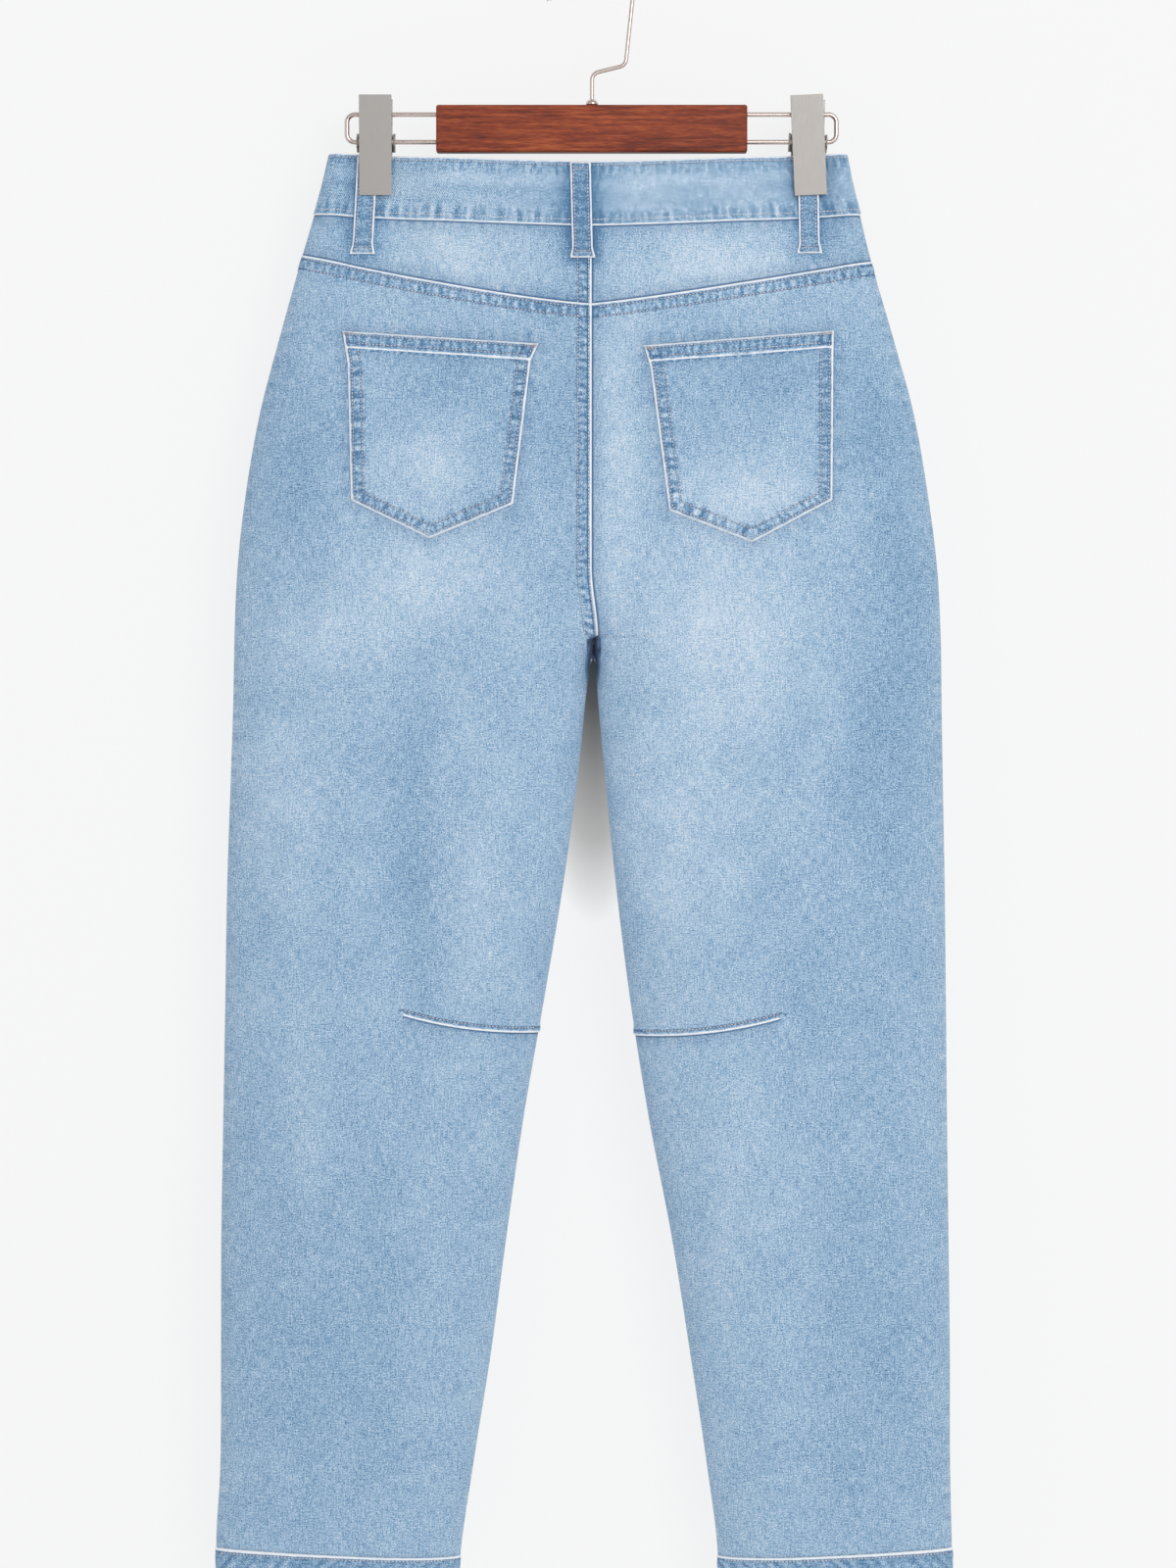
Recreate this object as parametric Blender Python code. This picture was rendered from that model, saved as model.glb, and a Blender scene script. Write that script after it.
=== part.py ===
"""Barrel jeans hanging by the waistband from a wooden bar hanger with two spring clips.

Sizes are in millimetres and MM turns them into Blender's metres. The back of the jeans faces -Y,
the front +Y, the wearer's left is -X and +Z is up. The origin is the inside top of the hook's arch.

The garment is a flattened tube. Its seen outline is a table of X positions by height, and each
face bulges away from the plane Y = 0 by half_depth(). Every cloth piece is a wall between
points on that surface and the same points moved inwards along the surface's own normal.
"""

import math

import bmesh
import bpy
import numpy as np

MM = 0.001
LEFT, RIGHT = -1, 1
BACK, FRONT = -1, 1
SIDE_NAMES = {LEFT: "left", RIGHT: "right"}

# Cloth
CLOTH = 1.4
DOUBLED = 3.0
HALF_SEAM = 0.15
LAP_RAISE = 0.8
LAP_WIDTH = 9.0
LAP_EASE = 5.0
ON_CLOTH = 0.6

# Waist, yoke, crotch and hem
WAIST_TOP_CENTRE = -144.5
WAIST_TOP_RISE = 6.6
WAIST_SEAM_CENTRE = -190.1
WAIST_SEAM_RISE = 8.0
WAIST_HALF = 190.0
WAIST_POWER = 1.3
WAIST_PROUD = 0.8
YOKE_SEAM_CENTRE = -245.0
YOKE_HALF = 200.0
YOKE_SEAM_RISE = {LEFT: 34.0, RIGHT: 31.0}
YOKE_SEAM_POWER = {LEFT: 1.3, RIGHT: 1.15}
CROTCH = -480.0
CENTRE_STRAIGHT = -400.0
CENTRE_DRIFT = 1.5
HEM_TOP = -1120.0
HEM_BOTTOM = -1139.5
HEM_PROUD = 0.7
HEM_FOLD_PROUD = 0.3

# Outline of the hanging garment: X of each edge, half depth of each face, and how far in from
# an edge the cloth keeps curving. Above the crotch the inner edges only lead the curves in.
OUTLINE_COLUMNS = (
    "z", "left_out", "left_in", "right_in", "right_out", "back", "front", "round_out", "round_in",
)
OUTLINE = np.array([
    (-137.0, -184.0, 8.0, -2.0, 179.0, 10.0, 10.5, 30.0, 60.0),
    (-183.0, -195.8, 8.0, -2.0, 189.2, 11.0, 12.0, 31.0, 60.0),
    (-209.0, -203.4, 8.0, -2.0, 195.4, 13.5, 14.0, 34.0, 60.0),
    (-265.0, -219.0, 8.0, -2.0, 211.4, 18.0, 17.0, 42.0, 60.0),
    (-320.0, -233.4, 8.0, -2.0, 226.4, 22.0, 20.0, 56.0, 60.0),
    (-375.0, -243.2, 8.0, -2.0, 236.2, 25.0, 22.0, 68.0, 60.0),
    (-430.0, -249.4, 8.0, -2.0, 243.2, 27.0, 24.0, 78.0, 60.0),
    (-480.0, -251.6, 1.5, 1.5, 245.8, 28.5, 26.0, 84.0, 62.0),
    (-520.0, -252.3, -4.0, 4.2, 246.3, 29.5, 27.0, 88.0, 66.0),
    (-568.0, -253.8, -8.8, 8.5, 247.0, 30.5, 28.0, 90.0, 72.0),
    (-651.0, -256.6, -19.8, 16.8, 248.5, 32.0, 29.5, 92.0, 80.0),
    (-734.0, -258.0, -33.6, 27.1, 249.4, 33.0, 31.0, 92.0, 82.0),
    (-817.0, -259.4, -48.0, 40.2, 250.2, 32.0, 30.0, 90.0, 80.0),
    (-899.0, -260.8, -59.8, 56.0, 251.2, 30.5, 29.0, 88.0, 76.0),
    (-982.0, -261.0, -70.9, 69.2, 252.2, 28.5, 27.0, 84.0, 72.0),
    (-1065.0, -261.6, -84.0, 81.6, 252.4, 26.5, 25.0, 80.0, 68.0),
    (-1120.0, -264.4, -92.0, 88.5, 253.6, 25.0, 24.0, 78.0, 66.0),
    (-1140.0, -264.0, -94.0, 89.4, 253.8, 25.0, 24.0, 78.0, 66.0),
])

# Largest folds: soft ridges (positive) and troughs (negative) of the hanging cloth
FOLD_COLUMNS = ("face", "x", "z", "length", "width", "height", "lean")
FOLDS = (
    (BACK, -127, -640, 260, 20, -3.6, 3),
    (BACK, -78, -660, 240, 26, 2.4, -4),
    (BACK, -190, -860, 240, 24, 2.2, 2),
    (BACK, -120, -930, 260, 26, -2.0, 6),
    (BACK, -165, -440, 150, 28, 1.8, -14),
    (BACK, 184, -560, 220, 22, -3.0, -2),
    (BACK, 115, -520, 200, 30, 2.4, 5),
    (BACK, 96, -880, 260, 26, 2.0, -6),
    (BACK, 165, -980, 240, 24, -2.2, -3),
    (BACK, 190, -340, 150, 18, -2.2, 8),
    (FRONT, -96, -560, 240, 26, -2.8, 8),
    (FRONT, -170, -660, 260, 26, 2.4, 2),
    (FRONT, -140, -900, 260, 24, -2.4, -3),
    (FRONT, 88, -575, 230, 26, -2.6, -9),
    (FRONT, 168, -640, 240, 28, 2.2, -2),
    (FRONT, 150, -940, 250, 24, -2.2, 4),
)

# Knee dart, sewn into each back panel from the inseam
DART_INNER_X = 35.0
DART_LENGTH = 98.0
DART_Z = {LEFT: -756.4, RIGHT: -758.6}
DART_TIP_RISE = 13.0
DART_STEP = 1.6
DART_RAISE = 1.2

# Panel grids
PANEL_COLUMNS = 14
RISE_LEVELS = (0.0, 2.5, 8.0, 18.0, 34.0, 58.0, 90.0, 128.0, 168.0, 202.0)
RISE_HEIGHT = 235.0
FRONT_RISE_HEIGHT = 188.0
BACK_LEG_LEVELS = (-512, -556, -604, -654, -705)
BACK_CALF_LEVELS = (-800, -850, -905, -960, -1015, -1070)
FRONT_LEG_LEVELS = (-512, -556, -604, -654, -705, -756, -806, -856, -908, -960, -1015, -1070)
TURN_WEIGHT = 22.0

# Front scoop pocket
SCOOP_WIDTH = 84.0
SCOOP_DROP = 76.0
SCOOP_ANGLES = (0, 25, 45, 60, 72, 82, 90)
SCOOP_INNER_DROP = 92.0
FLY_FOOT = -345.0
FACING_RINGS = 4
FACING_RECESS = 0.8

# Back pockets: named corners as (x, z)
POCKETS = {
    LEFT: {
        "top_outer": (-174.8, -264.4),
        "top_inner": (-37.0, -273.3),
        "foot_inner": (-55.0, -386.3),
        "foot_outer": (-168.5, -383.8),
        "point": (-113.6, -410.5),
    },
    RIGHT: {
        "top_outer": (169.7, -264.1),
        "top_inner": (36.4, -274.6),
        "foot_inner": (54.2, -390.9),
        "foot_outer": (168.4, -383.5),
        "point": (112.3, -413.2),
    },
}
POCKET_GRID = 8

# Belt loops: name, face, top centre x, foot centre x, foot z, and how far the ends lie off the
# waistband, more near the sides where the band turns
LOOP_WIDTH = 14.5
LOOP_THICKNESS = 1.8
LOOP_TOP_DROP = 1.2
LOOP_ARCH = 0.4
LOOP_ROWS = 6
LOOPS = (
    ("belt_loop_back_centre", BACK, -8.0, -6.3, -212.0, 0.2),
    ("belt_loop_back_left", BACK, -157.6, -161.3, -209.5, 0.95),
    ("belt_loop_back_right", BACK, 152.0, 153.2, -209.0, 0.95),
    ("belt_loop_front_left", FRONT, -86.0, -87.0, -208.0, 0.2),
    ("belt_loop_front_right", FRONT, 86.0, 87.0, -208.0, 0.2),
)

# Waistband ends at the centre front: the wearer's left end lies on top
WAIST_OVERLAP = 20.0
WAIST_UNDER_STEP = 3.4
WAIST_UNDER_EASE = 12.0
WAIST_COLUMNS = 72
WAIST_ROWS = 4
BUTTON_RADIUS = 8.5
BUTTON_HEIGHT = 3.2
BUTTON_X = 3.0
BUTTON_Z = -166.0

# Clips
CLIP_X = {LEFT: -152.0, RIGHT: 152.3}
CLIP_TILT = {LEFT: 0.0, RIGHT: 2.6}
CLIP_WIDTH = 22.8
CLIP_TOP = -98.2
CLIP_FOOT = -168.2
CLIP_SHEET = 1.2
CLIP_TOP_SPREAD = 13.0
CLIP_GRIP = {BACK: 7.1, FRONT: 4.1}
CLIP_FLANGE = 3.2
CLIP_LOW_FLANGE = 1.4
CLIP_TAPER = 12.0
CLIP_EAR = 4.4
CLIP_EAR_TURNS = (60, 100, 140, 180, 220, 260, 300)
CLIP_EAR_BAND = 6.5
CLIP_FAR_EAR_WIDTH = 27.2
CLIP_BORE = 2.5
CUTTER_REACH = 30.0
SPRING_RADIUS = 3.7
SPRING_WIRE = 1.2
SPRING_COILS = 8
PINCH_HALF_DEPTH = 2.7
PINCH_FLAT = 13.5
PINCH_EASE_OUT = 16.0
PINCH_EASE_IN = 42.0
PINCH_FADE = 95.0
PINCH_DEEPEN = 5.5

# Hanger
BAR_HALF_LENGTH = 109.4
BAR_TOP = -104.5
BAR_BOTTOM = -137.6
BAR_THICKNESS = 15.0
BAR_CHAMFER = 1.3
RAIL_RADIUS = 1.7
RAIL_UPPER = -110.7
RAIL_LOWER = -130.1
RAIL_END = 172.3
RAIL_CORNER = 5.5
RAIL_DEPTH = 14.0
BORE_GAP = 0.3
HOOK_RADIUS = 1.5
HOOK_SHANK_X = 0.2
HOOK_CENTRE_X = -0.8
HOOK_ARCH = 29.5
HOOK_LEAN = 6.0
HOOK_END_ANGLE = 196.0
HOOK_BEND = 6.0
HOOK_STEP_LOW = -80.5
HOOK_STEP_HIGH = -77.2
HOOK_BORE_DEPTH = 20.0
FERRULE_RADIUS = 4.3
FERRULE_HEIGHT = 4.6


# ---------------------------------------------------------------- scene and materials

def clear_scene():
    for item in list(bpy.data.objects):
        bpy.data.objects.remove(item, do_unlink=True)


def material(name, colour, roughness, metallic=0.0):
    finish = bpy.data.materials.new(name)
    finish.use_nodes = True
    shader = finish.node_tree.nodes["Principled BSDF"]
    shader.inputs["Base Color"].default_value = (*colour, 1.0)
    shader.inputs["Roughness"].default_value = roughness
    shader.inputs["Metallic"].default_value = metallic
    finish.diffuse_color = (*colour, 1.0)
    return finish


def mesh_object(name, bm, finish):
    mesh = bpy.data.meshes.new(name)
    bm.to_mesh(mesh)
    bm.free()
    mesh.materials.append(finish)
    piece = bpy.data.objects.new(name, mesh)
    bpy.context.collection.objects.link(piece)
    return piece


def hide_cutter(cutter):
    cutter.hide_render = True
    cutter.display_type = "WIRE"
    return cutter


def cut(piece, cutter, name):
    boolean = piece.modifiers.new(name, "BOOLEAN")
    boolean.operation = "DIFFERENCE"
    boolean.object = hide_cutter(cutter)


# ---------------------------------------------------------------- the garment's surface

def smoothstep(t):
    t = np.clip(t, 0.0, 1.0)
    return t * t * (3.0 - 2.0 * t)


def column(name, z):
    """A column of OUTLINE at height z, on a smooth curve through its rows."""
    heights = OUTLINE[::-1, 0]
    values = OUTLINE[::-1, OUTLINE_COLUMNS.index(name)]
    slopes = np.gradient(values, heights)
    z = np.clip(np.asarray(z, float), heights[0], heights[-1])
    i = np.clip(np.searchsorted(heights, z) - 1, 0, len(heights) - 2)
    span = heights[i + 1] - heights[i]
    t = (z - heights[i]) / span
    start = (1 + 2 * t) * (1 - t) ** 2 * values[i] + t * (1 - t) ** 2 * span * slopes[i]
    end = t * t * (3 - 2 * t) * values[i + 1] + t * t * (t - 1) * span * slopes[i + 1]
    return start + end


def edge_out(side, z):
    return column(SIDE_NAMES[side] + "_out", z)


def centre_seam(z):
    """The seams at the centre back and front, which drift to the right towards the crotch."""
    return CENTRE_DRIFT * smoothstep((CENTRE_STRAIGHT - z) / (CENTRE_STRAIGHT - CROTCH))


def edge_in(side, z):
    z = np.asarray(z, float)
    return np.where(z > CROTCH, centre_seam(z), column(SIDE_NAMES[side] + "_in", z))


def waist_top(x):
    return WAIST_TOP_CENTRE + WAIST_TOP_RISE * np.abs(x / WAIST_HALF) ** WAIST_POWER


def waist_seam(x):
    return WAIST_SEAM_CENTRE + WAIST_SEAM_RISE * np.abs(x / WAIST_HALF) ** WAIST_POWER


def yoke_seam(side, x):
    return YOKE_SEAM_CENTRE + YOKE_SEAM_RISE[side] * np.abs(x / YOKE_HALF) ** YOKE_SEAM_POWER[side]


def rounding(distance, radius):
    """0 at an edge and 1 from radius inwards, along a quarter of an ellipse."""
    return np.sqrt(1.0 - (1.0 - np.clip(distance / radius, 0.0, 1.0)) ** 2)


def pinch(x, z):
    """1 where a clip presses the cloth flat, easing to 0 around and below it."""
    amount = np.zeros(np.broadcast(x, z).shape)
    for side in (LEFT, RIGHT):
        beyond = side * (x - CLIP_X[side])
        ease = np.where(beyond > 0, PINCH_EASE_OUT, PINCH_EASE_IN)
        amount = amount + 1.0 - smoothstep((np.abs(beyond) - PINCH_FLAT) / ease)
    return amount * (1.0 - smoothstep((CLIP_FOOT - z) / PINCH_FADE))


def folds(face, x, z):
    total = 0.0
    for row in FOLDS:
        fold = dict(zip(FOLD_COLUMNS, row))
        if fold["face"] != face:
            continue
        lean = math.radians(fold["lean"])
        along = (z - fold["z"]) * math.cos(lean) + (x - fold["x"]) * math.sin(lean)
        across = (x - fold["x"]) * math.cos(lean) - (z - fold["z"]) * math.sin(lean)
        ends = 1.0 - smoothstep(np.abs(along) / (0.5 * fold["length"]))
        total = total + fold["height"] * np.exp(-((across / fold["width"]) ** 2)) * ends
    return total


def half_depth(face, side, x, z):
    """How far the face of the garment stands from the plane Y = 0 at (x, z)."""
    full = column("back" if face == BACK else "front", z)
    outer = rounding(side * (edge_out(side, z) - x), column("round_out", z))
    from_crotch = np.hypot(x - edge_in(side, CROTCH), np.maximum(z - CROTCH, 0.0))
    from_inner = np.where(z > CROTCH, from_crotch, side * (x - edge_in(side, z)))
    inner = rounding(from_inner, column("round_in", z))
    depth = (full + folds(face, x, z)) * outer * inner
    amount = pinch(x, z)
    flat = PINCH_HALF_DEPTH + PINCH_DEEPEN * smoothstep((CLIP_FOOT - z) / PINCH_FADE)
    return depth * (1.0 - amount) + flat * amount


def surface(face, side, x, z):
    """Points on a face of the garment and its outward normals, as arrays of (x, y, z)."""
    x, z = np.broadcast_arrays(np.asarray(x, float), np.asarray(z, float))
    step = 0.05
    depth = half_depth(face, side, x, z)
    inward = np.where(side * x > 0.5 * abs(edge_out(side, CROTCH)), -side, side) * step
    slope_x = (half_depth(face, side, x + inward, z) - depth) / inward
    slope_z = (half_depth(face, side, x, z + step) - depth) / step
    length = np.sqrt(slope_x ** 2 + slope_z ** 2 + 1.0)
    points = np.stack([x, face * (HALF_SEAM + depth), z], axis=-1)
    normals = np.stack([-slope_x, face * np.ones_like(x), -slope_z], axis=-1) / length[..., None]
    return points, normals


def spaced(curve, count, turn_weight=TURN_WEIGHT):
    """count + 1 parameters that divide a curve evenly by its length and its turning."""
    fine = np.linspace(0.0, 1.0, 361)
    steps = np.diff(curve(fine), axis=0)
    lengths = np.linalg.norm(steps, axis=1)
    heads = steps / np.maximum(lengths, 1e-9)[:, None]
    turns = np.arccos(np.clip((heads[1:] * heads[:-1]).sum(axis=1), -1.0, 1.0))
    cost = np.concatenate([[0.0], np.cumsum(lengths + turn_weight * np.append(turns, 0.0))])
    return np.interp(np.linspace(0.0, cost[-1], count + 1), cost, fine)


# ---------------------------------------------------------------- walls

def flat(x, z):
    """No raised edge."""
    return 0.0


def wall(name, rows, finish, closed=False):
    """A closed wall from rows of (outer points, inner points), in millimetres."""
    outer, inner = (np.array([row[k] for row in rows]) for k in (0, 1))
    count, columns = outer.shape[:2]
    bm = bmesh.new()
    skins = [
        [[bm.verts.new(point * MM) for point in row] for row in grid] for grid in (outer, inner)
    ]
    across = columns if closed else columns - 1
    for skin, inside in zip(skins, (False, True)):
        for r in range(count - 1):
            for c in range(across):
                d = (c + 1) % columns
                corners = [skin[r][c], skin[r][d], skin[r + 1][d], skin[r + 1][c]]
                bm.faces.new(corners[::-1] if inside else corners)
    rims = [(0, c, 0, (c + 1) % columns) for c in range(across)]
    rims += [(count - 1, (c + 1) % columns, count - 1, c) for c in range(across)]
    if not closed:
        rims += [(r + 1, 0, r, 0) for r in range(count - 1)]
        rims += [(r, columns - 1, r + 1, columns - 1) for r in range(count - 1)]
    for r, c, s, d in rims:
        bm.faces.new([skins[0][s][d], skins[0][r][c], skins[1][r][c], skins[1][s][d]])
    bmesh.ops.remove_doubles(bm, verts=bm.verts, dist=0.002 * MM)
    if bm.calc_volume(signed=True) < 0:
        bmesh.ops.reverse_faces(bm, faces=bm.faces)
    return mesh_object(name, bm, finish)


def settle(curve, x_edge, x):
    """The x at which a level curve z(x) meets an edge x_edge(z)."""
    for _ in range(6):
        x = float(x_edge(curve(x)))
    return x


def level_points(face, side, curve, outer_x, inner_x):
    """X positions along one level of a panel, from its outer edge to its inner edge."""
    def place(t):
        return outer_x + (inner_x - outer_x) * 0.5 * (1.0 - np.cos(math.pi * t))

    def sampled(t):
        x = place(t)
        return np.stack([x, face * half_depth(face, side, x, curve(x)), curve(x)], axis=-1)
    return place(spaced(sampled, PANEL_COLUMNS))


def panel_row(face, side, curve, raise_by, outer_end=None):
    """One row of a panel's outer and inner points, with its edges squared to its seams."""
    inner_x = settle(curve, lambda z: edge_in(side, z), 0.0)
    outer_x = outer_end
    if outer_end is None:
        outer_x = settle(curve, lambda z: edge_out(side, z), WAIST_HALF * side)
    x = level_points(face, side, curve, outer_x, inner_x)
    z = curve(x)
    points, normals = surface(face, side, x, z)
    raised = np.array([raise_by(a, b) for a, b in zip(x, z)])
    if outer_end is None:
        normals[0] = (side, 0.0, 0.0)
        raised[0] = 0.0
    at_crotch = abs(z[-1] - CROTCH) < 1e-6
    if at_crotch:
        normals[-1] = (0.0, 0.0, -1.0)
    elif z[-1] < CROTCH:
        normals[-1] = (-side, 0.0, 0.0)
        raised[-1] = 0.0
    else:
        normals[-1, 0] = 0.0
        normals[-1] /= np.linalg.norm(normals[-1])
    points[-1, 0] += side * HALF_SEAM
    return points + normals * raised[:, None], points - normals * CLOTH


def dart_curve(side, drop=0.0):
    def curve(x):
        along = np.clip((side * x - DART_INNER_X) / DART_LENGTH, 0.0, 1.0)
        return DART_Z[side] + DART_TIP_RISE * along ** 2.2 - drop * (1.0 - along ** 3)
    return curve


def level_between(top, fraction):
    return lambda x: CROTCH + fraction * (top(x) - CROTCH)


def straight_level(z):
    return lambda x: z + 0.0 * np.asarray(x, float)


# ---------------------------------------------------------------- cut pieces

def lap(distance):
    """How far the sewn-down edge of a lapped seam stands up, by distance from the seam."""
    return LAP_RAISE * (1.0 - float(smoothstep((distance - LAP_WIDTH) / LAP_EASE)))


def back_panel(side, finish):
    """Seat and leg in one, lapped over the yoke, with the knee dart stepped into it."""
    def seam(x):
        return yoke_seam(side, x) - HALF_SEAM

    def below_lap(x):
        return seam(x) - LAP_WIDTH

    def seam_lap(x, z):
        from_centre = abs(x - centre_seam(z)) if side == LEFT and z > CROTCH + 20 else 1e3
        return max(lap(seam(x) - z), lap(from_centre))

    def dart_lap(x, z):
        along = np.clip((side * x - DART_INNER_X) / DART_LENGTH, 0.0, 1.0)
        return DART_RAISE * (1.0 - along ** 2)

    levels = [(seam, seam_lap), (below_lap, seam_lap)]
    levels += [(level_between(seam, z / RISE_HEIGHT), seam_lap) for z in reversed(RISE_LEVELS)]
    levels += [(straight_level(z), flat) for z in BACK_LEG_LEVELS]
    levels += [(dart_curve(side), dart_lap), (dart_curve(side, DART_STEP), flat)]
    levels += [(straight_level(z), flat) for z in BACK_CALF_LEVELS]
    levels += [(straight_level(HEM_TOP + HALF_SEAM), flat)]
    rows = [panel_row(BACK, side, curve, raised) for curve, raised in levels]
    return wall(f"back_panel_{SIDE_NAMES[side]}", rows, finish)


def scoop_point(side, ring, angle):
    """(x, z) in the front pocket's corner: ring 1 is the pocket mouth, ring 0 the side seam's top."""
    z = -220.0
    for _ in range(12):
        x = float(edge_out(side, z)) - side * SCOOP_WIDTH * ring * math.cos(angle)
        z = float(waist_seam(x)) - HALF_SEAM - SCOOP_DROP * ring * math.sin(angle)
    return x, z


def front_panel(side, finish):
    """Front of seat and leg, its top corner cut away by the scoop of the pocket."""
    def fly_lap(x, z):
        return lap(abs(x - centre_seam(z))) if side == LEFT and z > FLY_FOOT else 0.0

    def scoop_level(angle, share):
        end_x, end_z = scoop_point(side, 1.0, math.radians(angle))
        inner_z = WAIST_SEAM_CENTRE - HALF_SEAM - SCOOP_INNER_DROP * share

        def curve(x):
            if angle == 0:
                return waist_seam(x) - HALF_SEAM
            t = np.clip(1.0 - np.asarray(x, float) / end_x, 0.0, 1.0)
            return end_z + (inner_z - end_z) * t
        return curve, end_x

    rows = []
    for index, angle in enumerate(SCOOP_ANGLES):
        curve, end_x = scoop_level(angle, index / (len(SCOOP_ANGLES) - 1))
        outer_end = end_x if angle < 90 else None
        rows.append(panel_row(FRONT, side, curve, fly_lap, outer_end))
    lowest = scoop_level(90, 1.0)[0]
    rise = [z for z in RISE_LEVELS if z < FRONT_RISE_HEIGHT]
    levels = [level_between(lowest, z / FRONT_RISE_HEIGHT) for z in reversed(rise)]
    levels += [straight_level(z) for z in FRONT_LEG_LEVELS]
    levels += [straight_level(HEM_TOP + HALF_SEAM)]
    rows += [panel_row(FRONT, side, curve, fly_lap) for curve in levels]
    return wall(f"front_panel_{SIDE_NAMES[side]}", rows, finish)


def pocket_facing(side, finish):
    """Cloth behind the scoop, between the pocket mouth, the waistband and the side seam."""
    mouth_ring = 1.0 - 2 * HALF_SEAM / SCOOP_DROP
    rows = []
    for ring in np.linspace(0.0, mouth_ring, FACING_RINGS + 1):
        spots = [scoop_point(side, ring, math.radians(angle)) for angle in SCOOP_ANGLES]
        x, z = np.array(spots).T
        points, normals = surface(FRONT, side, x, z)
        normals[np.abs(x - edge_out(side, z)) < 0.01] = (side, 0.0, 0.0)
        rows.append((points - normals * FACING_RECESS, points - normals * (FACING_RECESS + CLOTH)))
    return wall(f"front_pocket_facing_{SIDE_NAMES[side]}", rows, finish)


def back_yoke(side, finish):
    def level(share):
        def curve(x):
            top = waist_seam(x) - HALF_SEAM
            return top + share * (yoke_seam(side, x) + HALF_SEAM - top)
        return curve

    rows = [panel_row(BACK, side, level(share), flat) for share in np.linspace(0.0, 1.0, 4)]
    return wall(f"back_yoke_{SIDE_NAMES[side]}", rows, finish)


def hem(side, finish):
    """Turned-up hem: a closed ring of doubled cloth under the two leg panels."""
    levels = (
        (HEM_TOP - HALF_SEAM, HEM_PROUD),
        (0.5 * (HEM_TOP + HEM_BOTTOM), HEM_PROUD),
        (HEM_BOTTOM, HEM_FOLD_PROUD),
    )
    rows = []
    for z, proud in levels:
        curve = straight_level(z)
        halves = []
        for face in (BACK, FRONT):
            x = level_points(face, side, curve, float(edge_out(side, z)), float(edge_in(side, z)))
            points, normals = surface(face, side, x, curve(x))
            normals[0] = (side, 0.0, 0.0)
            normals[-1] = (-side, 0.0, 0.0)
            points[[0, -1], 1] = 0.0
            halves.append((points, normals))
        points = np.concatenate([halves[0][0], halves[1][0][-2:0:-1]])
        normals = np.concatenate([halves[0][1], halves[1][1][-2:0:-1]])
        rows.append((points + normals * proud, points - normals * (DOUBLED - proud)))
    return wall(f"hem_{SIDE_NAMES[side]}", rows, finish, closed=True)


def waistband_path(share):
    """Points and normals along the band at a share of its height: from the under end at the
    centre front, round the right side, the back and the left side, to the end on top."""
    quarters = (
        (FRONT, RIGHT, -WAIST_OVERLAP, "outwards"),
        (BACK, RIGHT, 0.0, "inwards"),
        (BACK, LEFT, 0.0, "outwards"),
        (FRONT, LEFT, WAIST_OVERLAP, "inwards"),
    )
    t = 0.5 * (1.0 - np.cos(math.pi * np.linspace(0.0, 1.0, 181)))
    points, normals = [], []
    for index, (face, side, start, direction) in enumerate(quarters):
        top_edge = float(edge_out(side, waist_top(WAIST_HALF)))
        edge = top_edge + share * (float(edge_out(side, waist_seam(WAIST_HALF))) - top_edge)
        x = start + (edge - start) * t
        x = x if direction == "outwards" else x[::-1]
        z = waist_top(x) + share * (waist_seam(x) + HALF_SEAM - waist_top(x))
        by_side = {half: surface(face, half, x, z) for half in (LEFT, RIGHT)}
        on_right = (x >= 0)[:, None]
        spots, outs = (np.where(on_right, by_side[RIGHT][k], by_side[LEFT][k]) for k in (0, 1))
        spots[:, 1] -= face * HALF_SEAM
        outs[np.abs(x - edge) < 1e-6] = (side, 0.0, 0.0)
        outs[:, 2] = 0.0
        outs /= np.linalg.norm(outs, axis=1)[:, None]
        move = np.full(len(x), WAIST_PROUD)
        if index == 0:
            clear_of_top_end = smoothstep((x - WAIST_OVERLAP - 1.5) / WAIST_UNDER_EASE)
            move -= WAIST_UNDER_STEP * (1.0 - clear_of_top_end)
        repeated = 0 if index == 0 else 1
        points.append((spots + outs * move[:, None])[repeated:])
        normals.append(outs[repeated:])
    return np.concatenate(points), np.concatenate(normals)


def waistband(finish):
    """One doubled strip right round the waist, its two ends lapped at the centre front."""
    middle = waistband_path(0.5)[0]
    grid = np.linspace(0.0, 1.0, len(middle))

    def along(t):
        return np.stack([np.interp(t, grid, middle[:, k]) for k in range(3)], axis=-1)

    chosen = np.unique(np.round(spaced(along, WAIST_COLUMNS) * (len(middle) - 1)).astype(int))
    rows = []
    for share in np.linspace(0.0, 1.0, WAIST_ROWS):
        points, normals = waistband_path(share)
        rows.append((points[chosen], points[chosen] - normals[chosen] * DOUBLED))
    return wall("waistband", rows, finish)


def back_pocket(side, finish):
    """Five-cornered patch, made from the seat's own points moved outwards."""
    corner = {name: np.array(spot) for name, spot in POCKETS[side].items()}
    share = np.linspace(0.0, 1.0, POCKET_GRID + 1)
    top = corner["top_outer"] + share[:, None] * (corner["top_inner"] - corner["top_outer"])
    foot = np.where(
        share[:, None] < 0.5,
        corner["foot_outer"] + 2 * share[:, None] * (corner["point"] - corner["foot_outer"]),
        corner["point"] + (2 * share[:, None] - 1) * (corner["foot_inner"] - corner["point"]),
    )
    spots = top[None] + share[:, None, None] * (foot - top)[None]
    x, z = spots[..., 0], spots[..., 1]
    points, normals = surface(BACK, side, x, z)
    rows = list(zip(points + normals * (ON_CLOTH + CLOTH), points + normals * ON_CLOTH))
    return wall(f"back_pocket_{SIDE_NAMES[side]}", rows, finish)


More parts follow.
